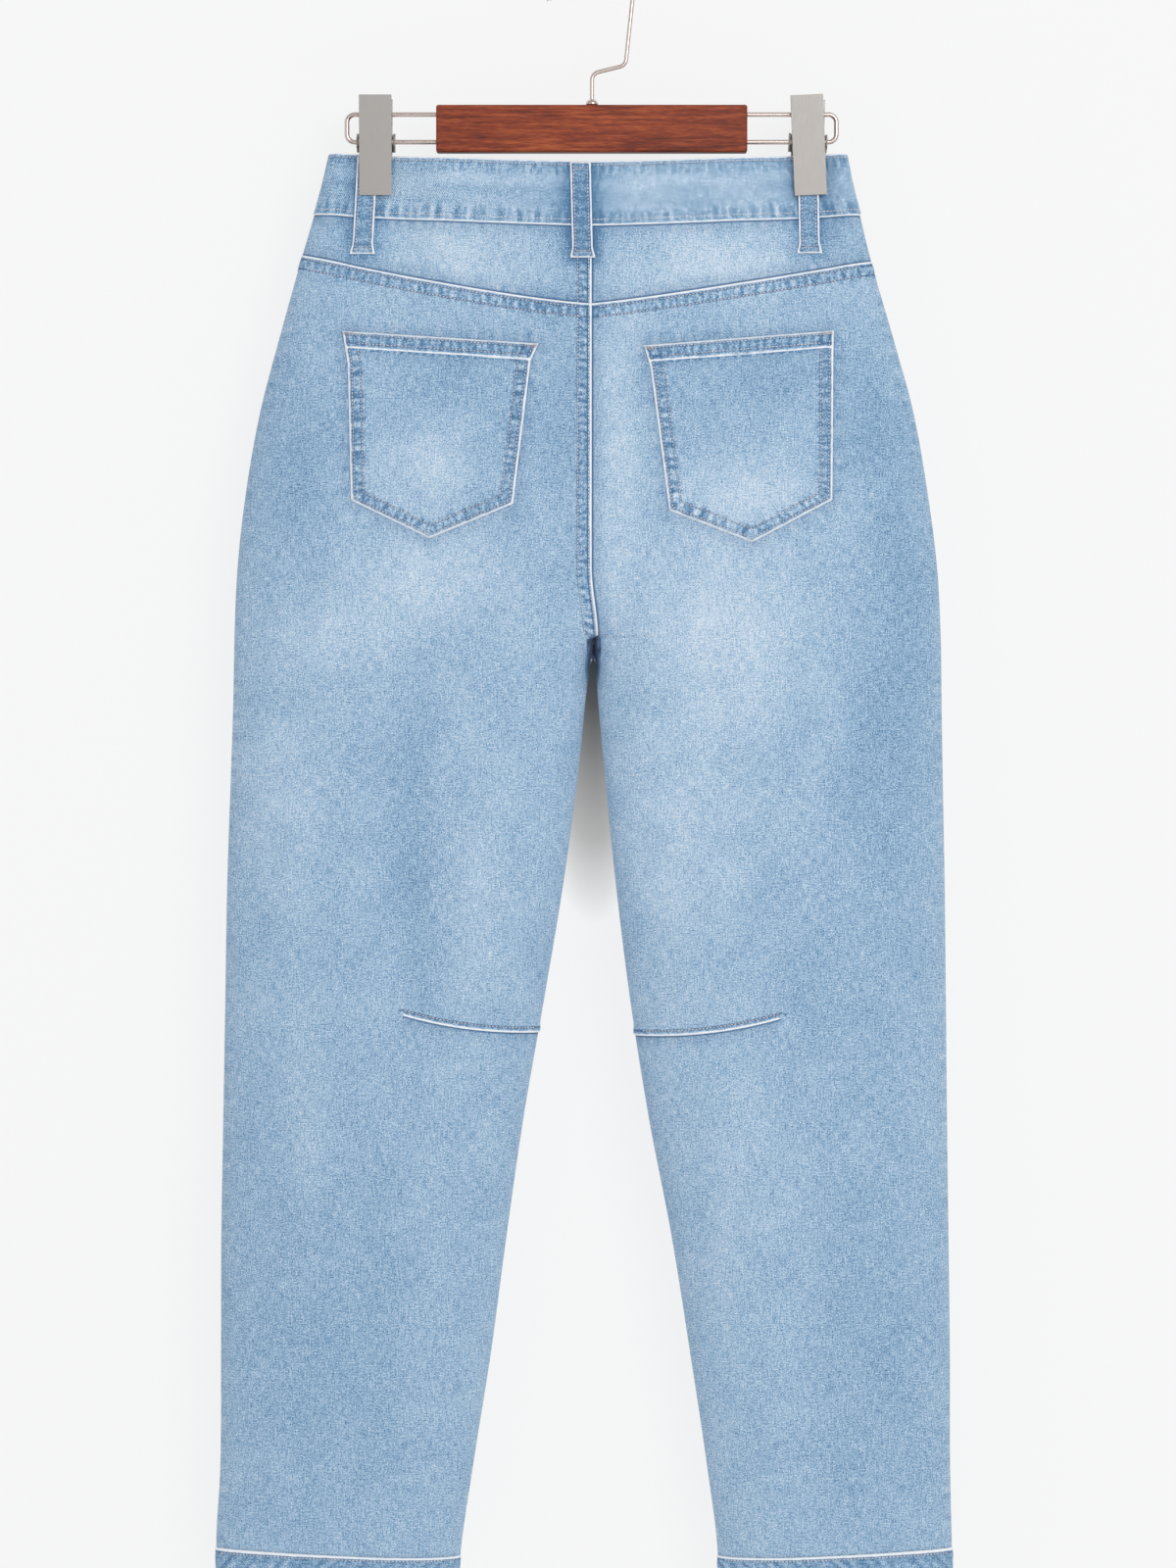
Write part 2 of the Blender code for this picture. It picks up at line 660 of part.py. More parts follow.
def belt_loop(name, face, top_x, foot_x, foot_z, clear, finish):
    """Folded strip over the waistband, held at its ends and slightly arched between them."""
    side = RIGHT if top_x > 0 else LEFT
    top_z = float(waist_top(top_x)) - LOOP_TOP_DROP
    rows = []
    for share in np.linspace(0.0, 1.0, LOOP_ROWS + 1):
        centre = top_x + share * (foot_x - top_x)
        x = centre + LOOP_WIDTH * np.array([-0.5, 0.0, 0.5])
        z = np.full(3, top_z + share * (foot_z - top_z))
        lift = WAIST_PROUD + clear + LOOP_ARCH * math.sin(math.pi * share)
        spots, normals = surface(face, side, x, z)
        normals = np.repeat(normals[1][None], 3, axis=0)
        rows.append((spots + normals * (lift + LOOP_THICKNESS), spots + normals * lift))
    return wall(name, rows, finish)


# ---------------------------------------------------------------- turned and swept hardware

def turned(name, profile, finish, steps, closed=True):
    """A profile of (radius, height) spun once round Z: a ring, or a disc if it meets the axis."""
    bm = bmesh.new()
    verts = [bm.verts.new((radius * MM, 0.0, height * MM)) for radius, height in profile]
    ends = verts[1:] + verts[:1] if closed else verts[1:]
    edges = [bm.edges.new(pair) for pair in zip(verts, ends)]
    bmesh.ops.spin(
        bm, geom=verts + edges, axis=(0, 0, 1), cent=(0, 0, 0), angle=math.tau, steps=steps,
        use_merge=True,
    )
    bmesh.ops.remove_doubles(bm, verts=bm.verts, dist=0.001 * MM)
    bmesh.ops.recalc_face_normals(bm, faces=bm.faces)
    return mesh_object(name, bm, finish)


def rod_cutter(name, radius, start, end, segments=12):
    """A straight cylinder between two points, used to drill a bore."""
    bm = bmesh.new()
    start, end = np.array(start, float), np.array(end, float)
    length = float(np.linalg.norm(end - start))
    bmesh.ops.create_cone(
        bm, cap_ends=True, segments=segments, radius1=radius * MM, radius2=radius * MM,
        depth=length * MM,
    )
    cutter = mesh_object(name, bm, material(name, (0.5, 0.5, 0.5), 0.5))
    cutter.location = [float(v) for v in (start + end) / 2 * MM]
    if abs(end[0] - start[0]) > 1e-6:
        cutter.rotation_euler = (0, math.pi / 2, 0)
    return cutter


def swept_wire(name, route, radius, finish, sides=2):
    """A wire of round section along a list of points."""
    data = bpy.data.curves.new(name, "CURVE")
    data.dimensions = "3D"
    data.bevel_depth = radius * MM
    data.bevel_resolution = sides
    data.use_fill_caps = True
    spline = data.splines.new("POLY")
    spline.points.add(len(route) - 1)
    for knot, point in zip(spline.points, route):
        knot.co = (*[float(v) * MM for v in point], 1.0)
    data.materials.append(finish)
    wire = bpy.data.objects.new(name, data)
    bpy.context.collection.objects.link(wire)
    return wire


def arc(centre, radius, start, end, steps):
    """Points (x, 0, z) on an arc about centre, angles in degrees from +X towards +Z."""
    angles = np.radians(np.linspace(start, end, steps + 1))
    x = centre[0] + radius * np.cos(angles)
    z = centre[1] + radius * np.sin(angles)
    return [(a, 0.0, b) for a, b in zip(x, z)]


def hanger_bar(finish):
    height = BAR_TOP - BAR_BOTTOM
    bm = bmesh.new()
    bmesh.ops.create_cube(bm, size=1.0)
    bmesh.ops.scale(
        bm, verts=bm.verts, vec=(2 * BAR_HALF_LENGTH * MM, BAR_THICKNESS * MM, height * MM)
    )
    bmesh.ops.translate(bm, verts=bm.verts, vec=(0, 0, (BAR_TOP + BAR_BOTTOM) / 2 * MM))
    bmesh.ops.bevel(
        bm, geom=bm.edges[:], offset=BAR_CHAMFER * MM, offset_type="OFFSET", segments=1,
        profile=0.5, affect="EDGES", clamp_overlap=True, material=-1,
    )
    bar = mesh_object("hanger_bar", bm, finish)
    for side in (LEFT, RIGHT):
        for label, z in (("upper", RAIL_UPPER), ("lower", RAIL_LOWER)):
            name = f"bore_{label}_{SIDE_NAMES[side]}"
            start = (side * (BAR_HALF_LENGTH - RAIL_DEPTH - 1), 0, z)
            end = (side * (BAR_HALF_LENGTH + 5), 0, z)
            cut(bar, rod_cutter(name, RAIL_RADIUS + BORE_GAP, start, end), name)
    start = (HOOK_SHANK_X, 0, BAR_TOP - HOOK_BORE_DEPTH - 1)
    end = (HOOK_SHANK_X, 0, BAR_TOP + 5)
    cut(bar, rod_cutter("bore_hook", HOOK_RADIUS + BORE_GAP, start, end), "bore_hook")
    return bar


def rail(side, finish):
    """U of wire out of the bar's end, which a clip slides along."""
    start_x = side * (BAR_HALF_LENGTH - RAIL_DEPTH)
    corner_x = RAIL_END - RAIL_CORNER
    upper = arc((corner_x, RAIL_UPPER - RAIL_CORNER), RAIL_CORNER, 90, 0, 4)
    lower = arc((corner_x, RAIL_LOWER + RAIL_CORNER), RAIL_CORNER, 0, -90, 4)
    bend = [(side * x, y, z) for x, y, z in upper + lower]
    route = [(start_x, 0.0, RAIL_UPPER)] + bend + [(start_x, 0.0, RAIL_LOWER)]
    return swept_wire(f"rail_{SIDE_NAMES[side]}", route, RAIL_RADIUS, finish)


def hook(finish):
    """Hook wire: up from the bar, stepped to the right, and over in one round arch."""
    centre_z = HOOK_RADIUS - HOOK_ARCH
    lean = math.radians(HOOK_LEAN)
    arch_x = HOOK_CENTRE_X + HOOK_ARCH * math.cos(lean)
    arch_z = centre_z - HOOK_ARCH * math.sin(lean)
    foot_z = HOOK_STEP_HIGH + HOOK_BEND
    foot_x = arch_x - (arch_z - foot_z) * math.tan(lean)
    low_centre = (HOOK_SHANK_X + HOOK_BEND, HOOK_STEP_LOW - HOOK_BEND)
    low_bend = arc(low_centre, HOOK_BEND, 180, 100, 4)
    high_bend = arc((foot_x - HOOK_BEND, foot_z), HOOK_BEND, -80, -HOOK_LEAN, 4)
    arch = arc((HOOK_CENTRE_X, centre_z), HOOK_ARCH, -HOOK_LEAN, HOOK_END_ANGLE, 20)
    route = [(HOOK_SHANK_X, 0.0, BAR_TOP - HOOK_BORE_DEPTH)] + low_bend + high_bend + arch
    return swept_wire("hook", route, HOOK_RADIUS, finish)


def ferrule(finish):
    bore = HOOK_RADIUS + BORE_GAP
    profile = [(bore, 0.3), (FERRULE_RADIUS, 0.3), (FERRULE_RADIUS, 2.2)]
    profile += [(0.75 * FERRULE_RADIUS, 0.85 * FERRULE_HEIGHT), (bore, FERRULE_HEIGHT)]
    piece = turned("hook_ferrule", profile, finish, steps=16)
    piece.location = (HOOK_SHANK_X * MM, 0.0, BAR_TOP * MM)
    return piece


def prism(name, outline, width, finish, shift=0.0):
    """A side view outline of (y, z), extruded evenly both ways along X."""
    bm = bmesh.new()
    near = [bm.verts.new(((shift - width / 2) * MM, y * MM, z * MM)) for y, z in outline]
    face = bm.faces.new(near)
    moved = bmesh.ops.extrude_face_region(bm, geom=[face])["geom"]
    verts = [item for item in moved if isinstance(item, bmesh.types.BMVert)]
    bmesh.ops.translate(bm, verts=verts, vec=(width * MM, 0, 0))
    bmesh.ops.recalc_face_normals(bm, faces=bm.faces)
    return mesh_object(name, bm, finish)


def clip_side_outline(grip):
    """One jaw's side view about its pivot: the sheet, its flange, and the ear round the rail."""
    top = CLIP_TOP - RAIL_LOWER
    foot = CLIP_FOOT - RAIL_LOWER

    def inner(z):
        return grip + (CLIP_TOP_SPREAD - grip) * (z - foot) / (top - foot)

    outline = [(inner(foot), foot), (inner(foot) + CLIP_SHEET, foot)]
    outline += [(inner(top) + CLIP_SHEET, top), (inner(top) - CLIP_FLANGE, top)]
    outline += [(inner(2 * CLIP_EAR) - CLIP_FLANGE, 2 * CLIP_EAR)]
    for angle in CLIP_EAR_TURNS:
        turn = math.radians(angle)
        outline.append((CLIP_EAR * math.cos(turn), CLIP_EAR * math.sin(turn)))
    low, taper = -1.7 * CLIP_EAR, foot + CLIP_TAPER
    outline += [(inner(low) - CLIP_LOW_FLANGE, low), (inner(taper) - 0.3, taper)]
    return outline, inner, foot, top


def clip_jaw(side, face, finish):
    """Pressed sheet jaw: a long plate with side flanges whose ears turn on the lower rail.

    The jaw on the front carries its ears outside those of the jaw on the back.
    """
    near = face == BACK
    name = f"clip_{SIDE_NAMES[side]}_{'back' if near else 'front'}_jaw"
    outline, inner, foot, top = clip_side_outline(CLIP_GRIP[face])
    above, below = top + 5, foot - 5
    width = CLIP_WIDTH if near else CLIP_FAR_EAR_WIDTH
    jaw = prism(name, outline, width, finish)
    back_of_sheet = [(inner(below), below), (inner(above), above)]
    cavity = back_of_sheet + [(-CUTTER_REACH, above), (-CUTTER_REACH, below)]
    cutters = [prism(name + "_hollow", cavity, width - 2 * CLIP_SHEET, finish)]
    if not near:
        for low, high in ((CLIP_EAR_BAND, above), (below, -CLIP_EAR_BAND)):
            ends = [(y, z) for z in (low, high) for y in (-CUTTER_REACH, CUTTER_REACH)]
            box = [ends[0], ends[1], ends[3], ends[2]]
            for edge in (LEFT, RIGHT):
                label = f"{name}_trim_{len(cutters)}"
                shift = edge * (CLIP_WIDTH / 2 + CLIP_FAR_EAR_WIDTH / 4)
                cutters.append(prism(label, box, CLIP_FAR_EAR_WIDTH / 2, finish, shift))
    cutters.append(rod_cutter(name + "_bore", CLIP_BORE, (-20, 0, 0), (20, 0, 0), segments=16))
    for cutter in cutters:
        cut(jaw, cutter, cutter.name)
    pivot = bpy.data.objects.new(name + "_pivot", None)
    bpy.context.collection.objects.link(pivot)
    pivot.location = (CLIP_X[side] * MM, 0.0, RAIL_LOWER * MM)
    pivot.rotation_euler = (0.0, math.radians(CLIP_TILT[side]), math.pi if near else 0.0)
    for piece in [jaw] + cutters:
        piece.parent = pivot
    return jaw


def clip_spring(side, finish):
    """Coil of the clip's spring, wound on the lower rail between the ears."""
    bore = RAIL_RADIUS + 0.35
    half = SPRING_COILS * SPRING_WIRE / 2
    profile = [(bore, -half)]
    for coil in range(SPRING_COILS):
        start = -half + coil * SPRING_WIRE
        profile.append((SPRING_RADIUS - 0.35, start + 0.05))
        profile.append((SPRING_RADIUS, start + SPRING_WIRE / 2))
    profile += [(SPRING_RADIUS - 0.35, half), (bore, half)]
    piece = turned(f"clip_{SIDE_NAMES[side]}_spring", profile, finish, steps=10)
    piece.rotation_euler = (0, math.pi / 2, 0)
    piece.location = (CLIP_X[side] * MM, 0.0, RAIL_LOWER * MM)
    return piece


def waist_button(finish):
    """Tack button on the lapped end of the waistband."""
    seat = float(half_depth(FRONT, RIGHT, BUTTON_X, BUTTON_Z)) + WAIST_PROUD + 2 * HALF_SEAM
    profile = [(0.0, 0.0), (3.5, 0.0), (3.5, 0.9), (BUTTON_RADIUS - 0.8, 0.9)]
    profile += [(BUTTON_RADIUS, 1.5), (BUTTON_RADIUS - 0.7, BUTTON_HEIGHT), (0.0, BUTTON_HEIGHT)]
    piece = turned("waist_button", profile, finish, steps=20, closed=False)
    piece.rotation_euler = (-math.pi / 2, 0, 0)
    piece.location = (BUTTON_X * MM, seat * MM, BUTTON_Z * MM)
    return piece


def main():
    clear_scene()
    denim = material("denim", (0.36, 0.52, 0.68), 0.9)
    denim_pocket = material("denim_pocket", (0.32, 0.47, 0.64), 0.9)
    wood = material("wood", (0.28, 0.09, 0.05), 0.45)
    nickel = material("nickel", (0.62, 0.59, 0.56), 0.35, 1.0)
    for side in (LEFT, RIGHT):
        back_panel(side, denim)
        front_panel(side, denim)
        pocket_facing(side, denim_pocket)
        back_yoke(side, denim)
        back_pocket(side, denim_pocket)
        hem(side, denim)
        rail(side, nickel)
        clip_jaw(side, BACK, nickel)
        clip_jaw(side, FRONT, nickel)
        clip_spring(side, nickel)
    waistband(denim)
    for loop in LOOPS:
        belt_loop(*loop, denim_pocket)
    waist_button(nickel)
    hanger_bar(wood)
    hook(nickel)
    ferrule(nickel)


main()
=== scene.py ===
# %% [markdown]
# # Barrel jeans on a clip hanger
#
# Light washed denim jeans hang by the waistband from a wooden bar hanger, their back towards us.
# The solids of every cut piece are loaded first and stay where they are. This lesson lays a finer
# cloth shell over each of them, sews it, gives it its wash, and finishes the wood and the metal.

# %% Load the frame
import math

import bmesh
import bpy
import numpy as np
from mathutils import Matrix, Vector


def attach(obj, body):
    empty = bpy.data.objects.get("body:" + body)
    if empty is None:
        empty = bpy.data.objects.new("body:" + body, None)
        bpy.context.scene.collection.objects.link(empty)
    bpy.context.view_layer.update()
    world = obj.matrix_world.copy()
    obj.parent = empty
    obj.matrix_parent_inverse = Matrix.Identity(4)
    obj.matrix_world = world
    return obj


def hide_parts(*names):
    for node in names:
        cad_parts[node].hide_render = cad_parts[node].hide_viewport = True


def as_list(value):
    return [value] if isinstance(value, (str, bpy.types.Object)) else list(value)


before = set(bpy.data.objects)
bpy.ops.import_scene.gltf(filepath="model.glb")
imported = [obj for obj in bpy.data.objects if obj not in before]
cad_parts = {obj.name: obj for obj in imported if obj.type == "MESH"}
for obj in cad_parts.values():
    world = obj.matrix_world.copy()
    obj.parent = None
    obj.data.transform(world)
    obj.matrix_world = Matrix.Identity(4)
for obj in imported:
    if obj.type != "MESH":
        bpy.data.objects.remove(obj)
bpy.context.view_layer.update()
MM = 0.001
LEFT, RIGHT = -1, 1
BACK, FRONT = -1, 1
SIDE_NAMES = {LEFT: "left", RIGHT: "right"}
print(len(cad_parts), "solids in the frame")

# %% [markdown]
# ## Colours and nodes
# Cloth, wood and metal colours are read off as sRGB hex values, and a shader wants linear light,
# so one function converts them. Others add shader nodes with their settings and links, and put
# pieces into the scene, which keeps every cell below short enough to read at a glance.


# %% Colour, node and object helpers
def linear(hex_colour):
    """A hex sRGB colour as linear red, green, blue and alpha."""
    parts = [int(hex_colour[i:i + 2], 16) / 255 for i in (1, 3, 5)]
    return [c / 12.92 if c <= 0.04045 else ((c + 0.055) / 1.055) ** 2.4 for c in parts] + [1.0]


def new_material(name, **inputs):
    """A material, its nodes and its shader, whose plain inputs are set by name."""
    finish = bpy.data.materials.new(name)
    finish.use_nodes = True
    shader = finish.node_tree.nodes["Principled BSDF"]
    for key, value in inputs.items():
        shader.inputs[key.replace("_", " ")].default_value = value
    return finish, finish.node_tree, shader


def node(tree, kind, links=None, values=None, **settings):
    """Add a node: its settings, then unlinked input values, then links from other sockets."""
    made = tree.nodes.new(kind)
    for key, value in settings.items():
        setattr(made, key, value)
    for key, value in (values or {}).items():
        made.inputs[key].default_value = value
    for key, socket in (links or {}).items():
        tree.links.new(socket, made.inputs[key])
    return made


def maths(tree, operation, first, second=0.5, third=0.0, clamp=False):
    """A Math node on sockets or plain numbers."""
    made = node(tree, "ShaderNodeMath", operation=operation, use_clamp=clamp)
    for index, value in enumerate((first, second, third)):
        if isinstance(value, (int, float)):
            made.inputs[index].default_value = value
        else:
            tree.links.new(value, made.inputs[index])
    return made.outputs[0]


def summed(tree, total, *terms):
    """total, plus the source of each term times its share."""
    for source, share in terms:
        total = maths(tree, "MULTIPLY_ADD", source, share, total)
    return total


def ramp_down(tree, socket, near, far, top=1.0):
    """top where the value is at most near, easing to 0 at far."""
    limits = {"From Min": near, "From Max": far, "To Min": top, "To Max": 0.0}
    return node(tree, "ShaderNodeMapRange", {"Value": socket}, limits,
                interpolation_type="SMOOTHSTEP").outputs["Result"]


def noise(tree, vector, scale, detail=2.0, roughness=0.5, distortion=0.0):
    """Noise from 0 to 1 in coordinates stretched by scale."""
    mapped = node(tree, "ShaderNodeMapping", {"Vector": vector}, {"Scale": scale}).outputs["Vector"]
    shape = {"Scale": 1.0, "Detail": detail, "Roughness": roughness, "Distortion": distortion}
    return node(tree, "ShaderNodeTexNoise", {"Vector": mapped}, shape).outputs["Fac"]


def tint(tree, shader, socket, tones, key="Base Color"):
    """Colour a shader's input by a value, blended between tints at their places."""
    made = node(tree, "ShaderNodeValToRGB", {"Fac": socket})
    stops = made.color_ramp.elements
    while len(stops) < len(tones):
        stops.new(0.5)
    for stop, (place, shade) in zip(stops, tones):
        stop.position = place
        stop.color = linear(shade)
    tree.links.new(made.outputs["Color"], shader.inputs[key])
    return made.outputs["Color"]


def bump(tree, shader, height, strength, distance):
    made = node(tree, "ShaderNodeBump", {"Height": height},
                {"Strength": strength, "Distance": distance * MM})
    tree.links.new(made.outputs["Normal"], shader.inputs["Normal"])


def linked(name, data):
    """A new object in the scene."""
    made = bpy.data.objects.new(name, data)
    bpy.context.collection.objects.link(made)
    return made


def mesh_of(name, bm, *finishes):
    """A new object in the scene from a bmesh and its materials."""
    mesh = bpy.data.meshes.new(name)
    bm.to_mesh(mesh)
    bm.free()
    for finish in finishes:
        mesh.materials.append(finish)
    return linked(name, mesh)


def placed(piece, slot, *nodes):
    """The piece rides with the jeans in place of these solids. Its slot is not used."""
    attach(piece, "root")
    if nodes:
        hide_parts(*nodes)
    return piece

# %% [markdown]
# ## The garment's measures
# A hanging pair of jeans is a flattened tube that forks into two legs. Its outline is a table of
# edges by height, in millimetres, and each face bulges away from the plane between front and
# back. These are the measures that the solids were built from, so every shell lands on its solid.

# %% Measures of the hanging jeans
CLOTH = 1.4
DOUBLED = 3.0
SEAM_GAP = 0.04
WAIST_TOP_CENTRE, WAIST_TOP_RISE = -144.5, 6.6
WAIST_SEAM_CENTRE, WAIST_SEAM_RISE = -190.1, 8.0
WAIST_HALF, WAIST_POWER, WAIST_PROUD = 190.0, 1.3, 0.8
YOKE_CENTRE, YOKE_HALF = -245.0, 200.0
YOKE_RISE = {LEFT: 34.0, RIGHT: 31.0}
YOKE_POWER = {LEFT: 1.3, RIGHT: 1.15}
CROTCH, CENTRE_STRAIGHT, CENTRE_DRIFT = -480.0, -430.0, 4.6
HEM_TOP, HEM_BOTTOM, HEM_PROUD = -1120.0, -1139.5, 0.7

OUTLINE_COLUMNS = (
    "z", "left_out", "left_in", "right_in", "right_out", "back", "front", "round_out", "round_in",
)
OUTLINE = np.array([
    (-137.0, -184.0, 8.0, -2.0, 179.0, 10.0, 10.5, 30.0, 60.0),
    (-183.0, -195.8, 8.0, -2.0, 189.2, 11.0, 12.0, 31.0, 60.0),
    (-209.0, -203.4, 8.0, -2.0, 195.4, 13.5, 14.0, 34.0, 60.0),
    (-265.0, -219.0, 8.0, -2.0, 211.4, 18.0, 17.0, 42.0, 60.0),
    (-320.0, -233.4, 8.0, -2.0, 226.4, 22.0, 20.0, 56.0, 60.0),
    (-375.0, -243.2, 8.0, -2.0, 236.2, 25.0, 22.0, 68.0, 60.0),
    (-430.0, -249.4, 8.0, -2.0, 243.2, 27.0, 24.0, 78.0, 60.0),
    (-480.0, -251.6, 1.5, 1.5, 245.8, 28.5, 26.0, 84.0, 62.0),
    (-520.0, -252.3, -4.0, 4.2, 246.3, 29.5, 27.0, 88.0, 66.0),
    (-568.0, -253.8, -8.8, 8.5, 247.0, 30.5, 28.0, 90.0, 72.0),
    (-651.0, -256.6, -19.8, 16.8, 248.5, 32.0, 29.5, 92.0, 80.0),
    (-734.0, -258.0, -33.6, 27.1, 249.4, 33.0, 31.0, 92.0, 82.0),
    (-817.0, -259.4, -48.0, 40.2, 250.2, 32.0, 30.0, 90.0, 80.0),
    (-899.0, -260.8, -59.8, 56.0, 251.2, 30.5, 29.0, 88.0, 76.0),
    (-982.0, -261.0, -70.9, 69.2, 252.2, 28.5, 27.0, 84.0, 72.0),
    (-1065.0, -261.6, -84.0, 81.6, 252.4, 26.5, 25.0, 80.0, 68.0),
    (-1120.0, -264.4, -92.0, 88.5, 253.6, 25.0, 24.0, 78.0, 66.0),
    (-1140.0, -264.0, -94.0, 89.4, 253.8, 25.0, 24.0, 78.0, 66.0),
])


def smoothstep(t):
    t = np.clip(t, 0.0, 1.0)
    return t * t * (3.0 - 2.0 * t)


def column(name, z):
    """A column of OUTLINE at height z, on a smooth curve through its rows."""
    heights = OUTLINE[::-1, 0]
    values = OUTLINE[::-1, OUTLINE_COLUMNS.index(name)]
    slopes = np.gradient(values, heights)
    z = np.clip(np.asarray(z, float), heights[0], heights[-1])
    i = np.clip(np.searchsorted(heights, z) - 1, 0, len(heights) - 2)
    span = heights[i + 1] - heights[i]
    t = (z - heights[i]) / span
    start = (1 + 2 * t) * (1 - t) ** 2 * values[i] + t * (1 - t) ** 2 * span * slopes[i]
    end = t * t * (3 - 2 * t) * values[i + 1] + t * t * (t - 1) * span * slopes[i + 1]
    return start + end


def edge_out(side, z):
    return column(SIDE_NAMES[side] + "_out", z)


def centre_seam(z):
    return CENTRE_DRIFT * smoothstep((CENTRE_STRAIGHT - z) / (CENTRE_STRAIGHT - CROTCH))


def edge_in(side, z):
    z = np.asarray(z, float)
    return np.where(z > CROTCH, centre_seam(z), column(SIDE_NAMES[side] + "_in", z))


def waist_top(x):
    return WAIST_TOP_CENTRE + WAIST_TOP_RISE * np.abs(x / WAIST_HALF) ** WAIST_POWER


def waist_seam(x):
    return WAIST_SEAM_CENTRE + WAIST_SEAM_RISE * np.abs(x / WAIST_HALF) ** WAIST_POWER


def yoke_seam(side, x):
    return YOKE_CENTRE + YOKE_RISE[side] * np.abs(x / YOKE_HALF) ** YOKE_POWER[side]


print("waist laid flat:", round(float(edge_out(RIGHT, -145) - edge_out(LEFT, -145))), "mm")

# %% [markdown]
# ## Folds
# Hung cloth is never a smooth balloon. Each fold here is a soft ridge or trough with its own
# place, length, width, depth and lean: first the largest, which the solids carry too, and then
# the finer ones that only the shells have. Sewn edges keep them flat, so they fade out there.

# %% The surface with its folds
# Each row: x, z, length, width, height, lean in degrees
FOLDS = {
    BACK: (
        (-127, -640, 260, 20, -3.6, 3), (-78, -660, 240, 26, 2.4, -4),
        (-190, -860, 240, 24, 2.2, 2), (-120, -930, 260, 26, -2.0, 6),
        (-165, -440, 150, 28, 1.8, -14), (184, -560, 220, 22, -3.0, -2),
        (115, -520, 200, 30, 2.4, 5), (96, -880, 260, 26, 2.0, -6), (165, -980, 240, 24, -2.2, -3),
        (190, -340, 150, 18, -2.2, 8), (-150, -560, 150, 9, -0.9, 6), (-98, -700, 150, 8, -0.7, -3),
        (-215, -640, 240, 10, 0.8, 1), (-60, -560, 110, 8, -0.8, -12), (-40, -520, 90, 7, 0.8, -16),
        (-148, -752, 90, 7, -0.8, 62), (-165, -770, 110, 10, 0.6, 40),
        (-205, -1010, 190, 11, -0.7, -2), (-150, -1040, 160, 9, 0.6, 4),
        (40, -520, 100, 7, 0.8, 15), (60, -590, 130, 9, -0.8, 9), (150, -650, 190, 9, 0.7, -2),
        (215, -480, 170, 9, -0.8, -4), (150, -752, 90, 7, -0.8, -58), (132, -880, 190, 9, -0.6, -5),
        (205, -900, 240, 10, 0.7, 1), (120, -1050, 150, 9, 0.6, -4), (110, -450, 110, 12, -0.6, 70),
        (-120, -450, 120, 12, -0.6, -66),
    ),
    FRONT: (
        (-96, -560, 240, 26, -2.8, 8), (-170, -660, 260, 26, 2.4, 2),
        (-140, -900, 260, 24, -2.4, -3), (88, -575, 230, 26, -2.6, -9),
        (168, -640, 240, 28, 2.2, -2), (150, -940, 250, 24, -2.2, 4), (-60, -440, 90, 7, -1.0, 52),
        (-70, -465, 110, 8, 0.8, 46), (-150, -400, 120, 8, -0.8, 38), (-120, -740, 110, 9, 0.7, 60),
        (-200, -820, 200, 10, -0.7, 2), (62, -436, 96, 7, -1.0, -50), (76, -468, 104, 8, 0.8, -44),
        (158, -410, 110, 8, -0.8, -36), (118, -752, 120, 9, 0.7, -58),
        (205, -800, 220, 10, -0.7, -1),
    ),
}

CLIP_X = {LEFT: -152.0, RIGHT: 152.3}
CLIP_FOOT = -168.2
PINCH_HALF_DEPTH, PINCH_FLAT, PINCH_FADE, PINCH_DEEPEN = 2.7, 13.5, 95.0, 5.5
PINCH_EASE_OUT, PINCH_EASE_IN = 16.0, 42.0


def rounding(distance, radius):
    """0 at an edge and 1 from radius inwards, along a quarter of an ellipse."""
    return np.sqrt(1.0 - (1.0 - np.clip(distance / radius, 0.0, 1.0)) ** 2)


def pinch(x, z):
    """1 where a clip presses the cloth flat, easing to 0 around and below it."""
    amount = np.zeros(np.broadcast(x, z).shape)
    for side in (LEFT, RIGHT):
        beyond = side * (x - CLIP_X[side])
        ease = np.where(beyond > 0, PINCH_EASE_OUT, PINCH_EASE_IN)
        amount = amount + 1.0 - smoothstep((np.abs(beyond) - PINCH_FLAT) / ease)
    return amount * (1.0 - smoothstep((CLIP_FOOT - z) / PINCH_FADE))


def leaned(a, b, degrees):
    """Two coordinates turned by an angle."""
    lean = math.radians(degrees)
    return a * math.cos(lean) + b * math.sin(lean), b * math.cos(lean) - a * math.sin(lean)


def folds(face, x, z):
    total = 0.0
    for fold_x, fold_z, length, width, height, lean in FOLDS[face]:
        along, across = leaned(z - fold_z, x - fold_x, lean)
        ends = 1.0 - smoothstep(np.abs(along) / (0.5 * length))
        total = total + height * np.exp(-((across / width) ** 2)) * ends
    return total
def half_depth(face, side, x, z):
    """How far the face of the garment stands from the plane Y = 0 at (x, z)."""
    full = column("back" if face == BACK else "front", z)
    outer = rounding(side * (edge_out(side, z) - x), column("round_out", z))
    from_crotch = np.hypot(x - edge_in(side, CROTCH), np.maximum(z - CROTCH, 0.0))
    from_inner = np.where(z > CROTCH, from_crotch, side * (x - edge_in(side, z)))
    inner = rounding(from_inner, column("round_in", z))
    depth = (full + folds(face, x, z)) * outer * inner
    amount = pinch(x, z)
    flat = PINCH_HALF_DEPTH + PINCH_DEEPEN * smoothstep((CLIP_FOOT - z) / PINCH_FADE)
    return depth * (1.0 - amount) + flat * amount


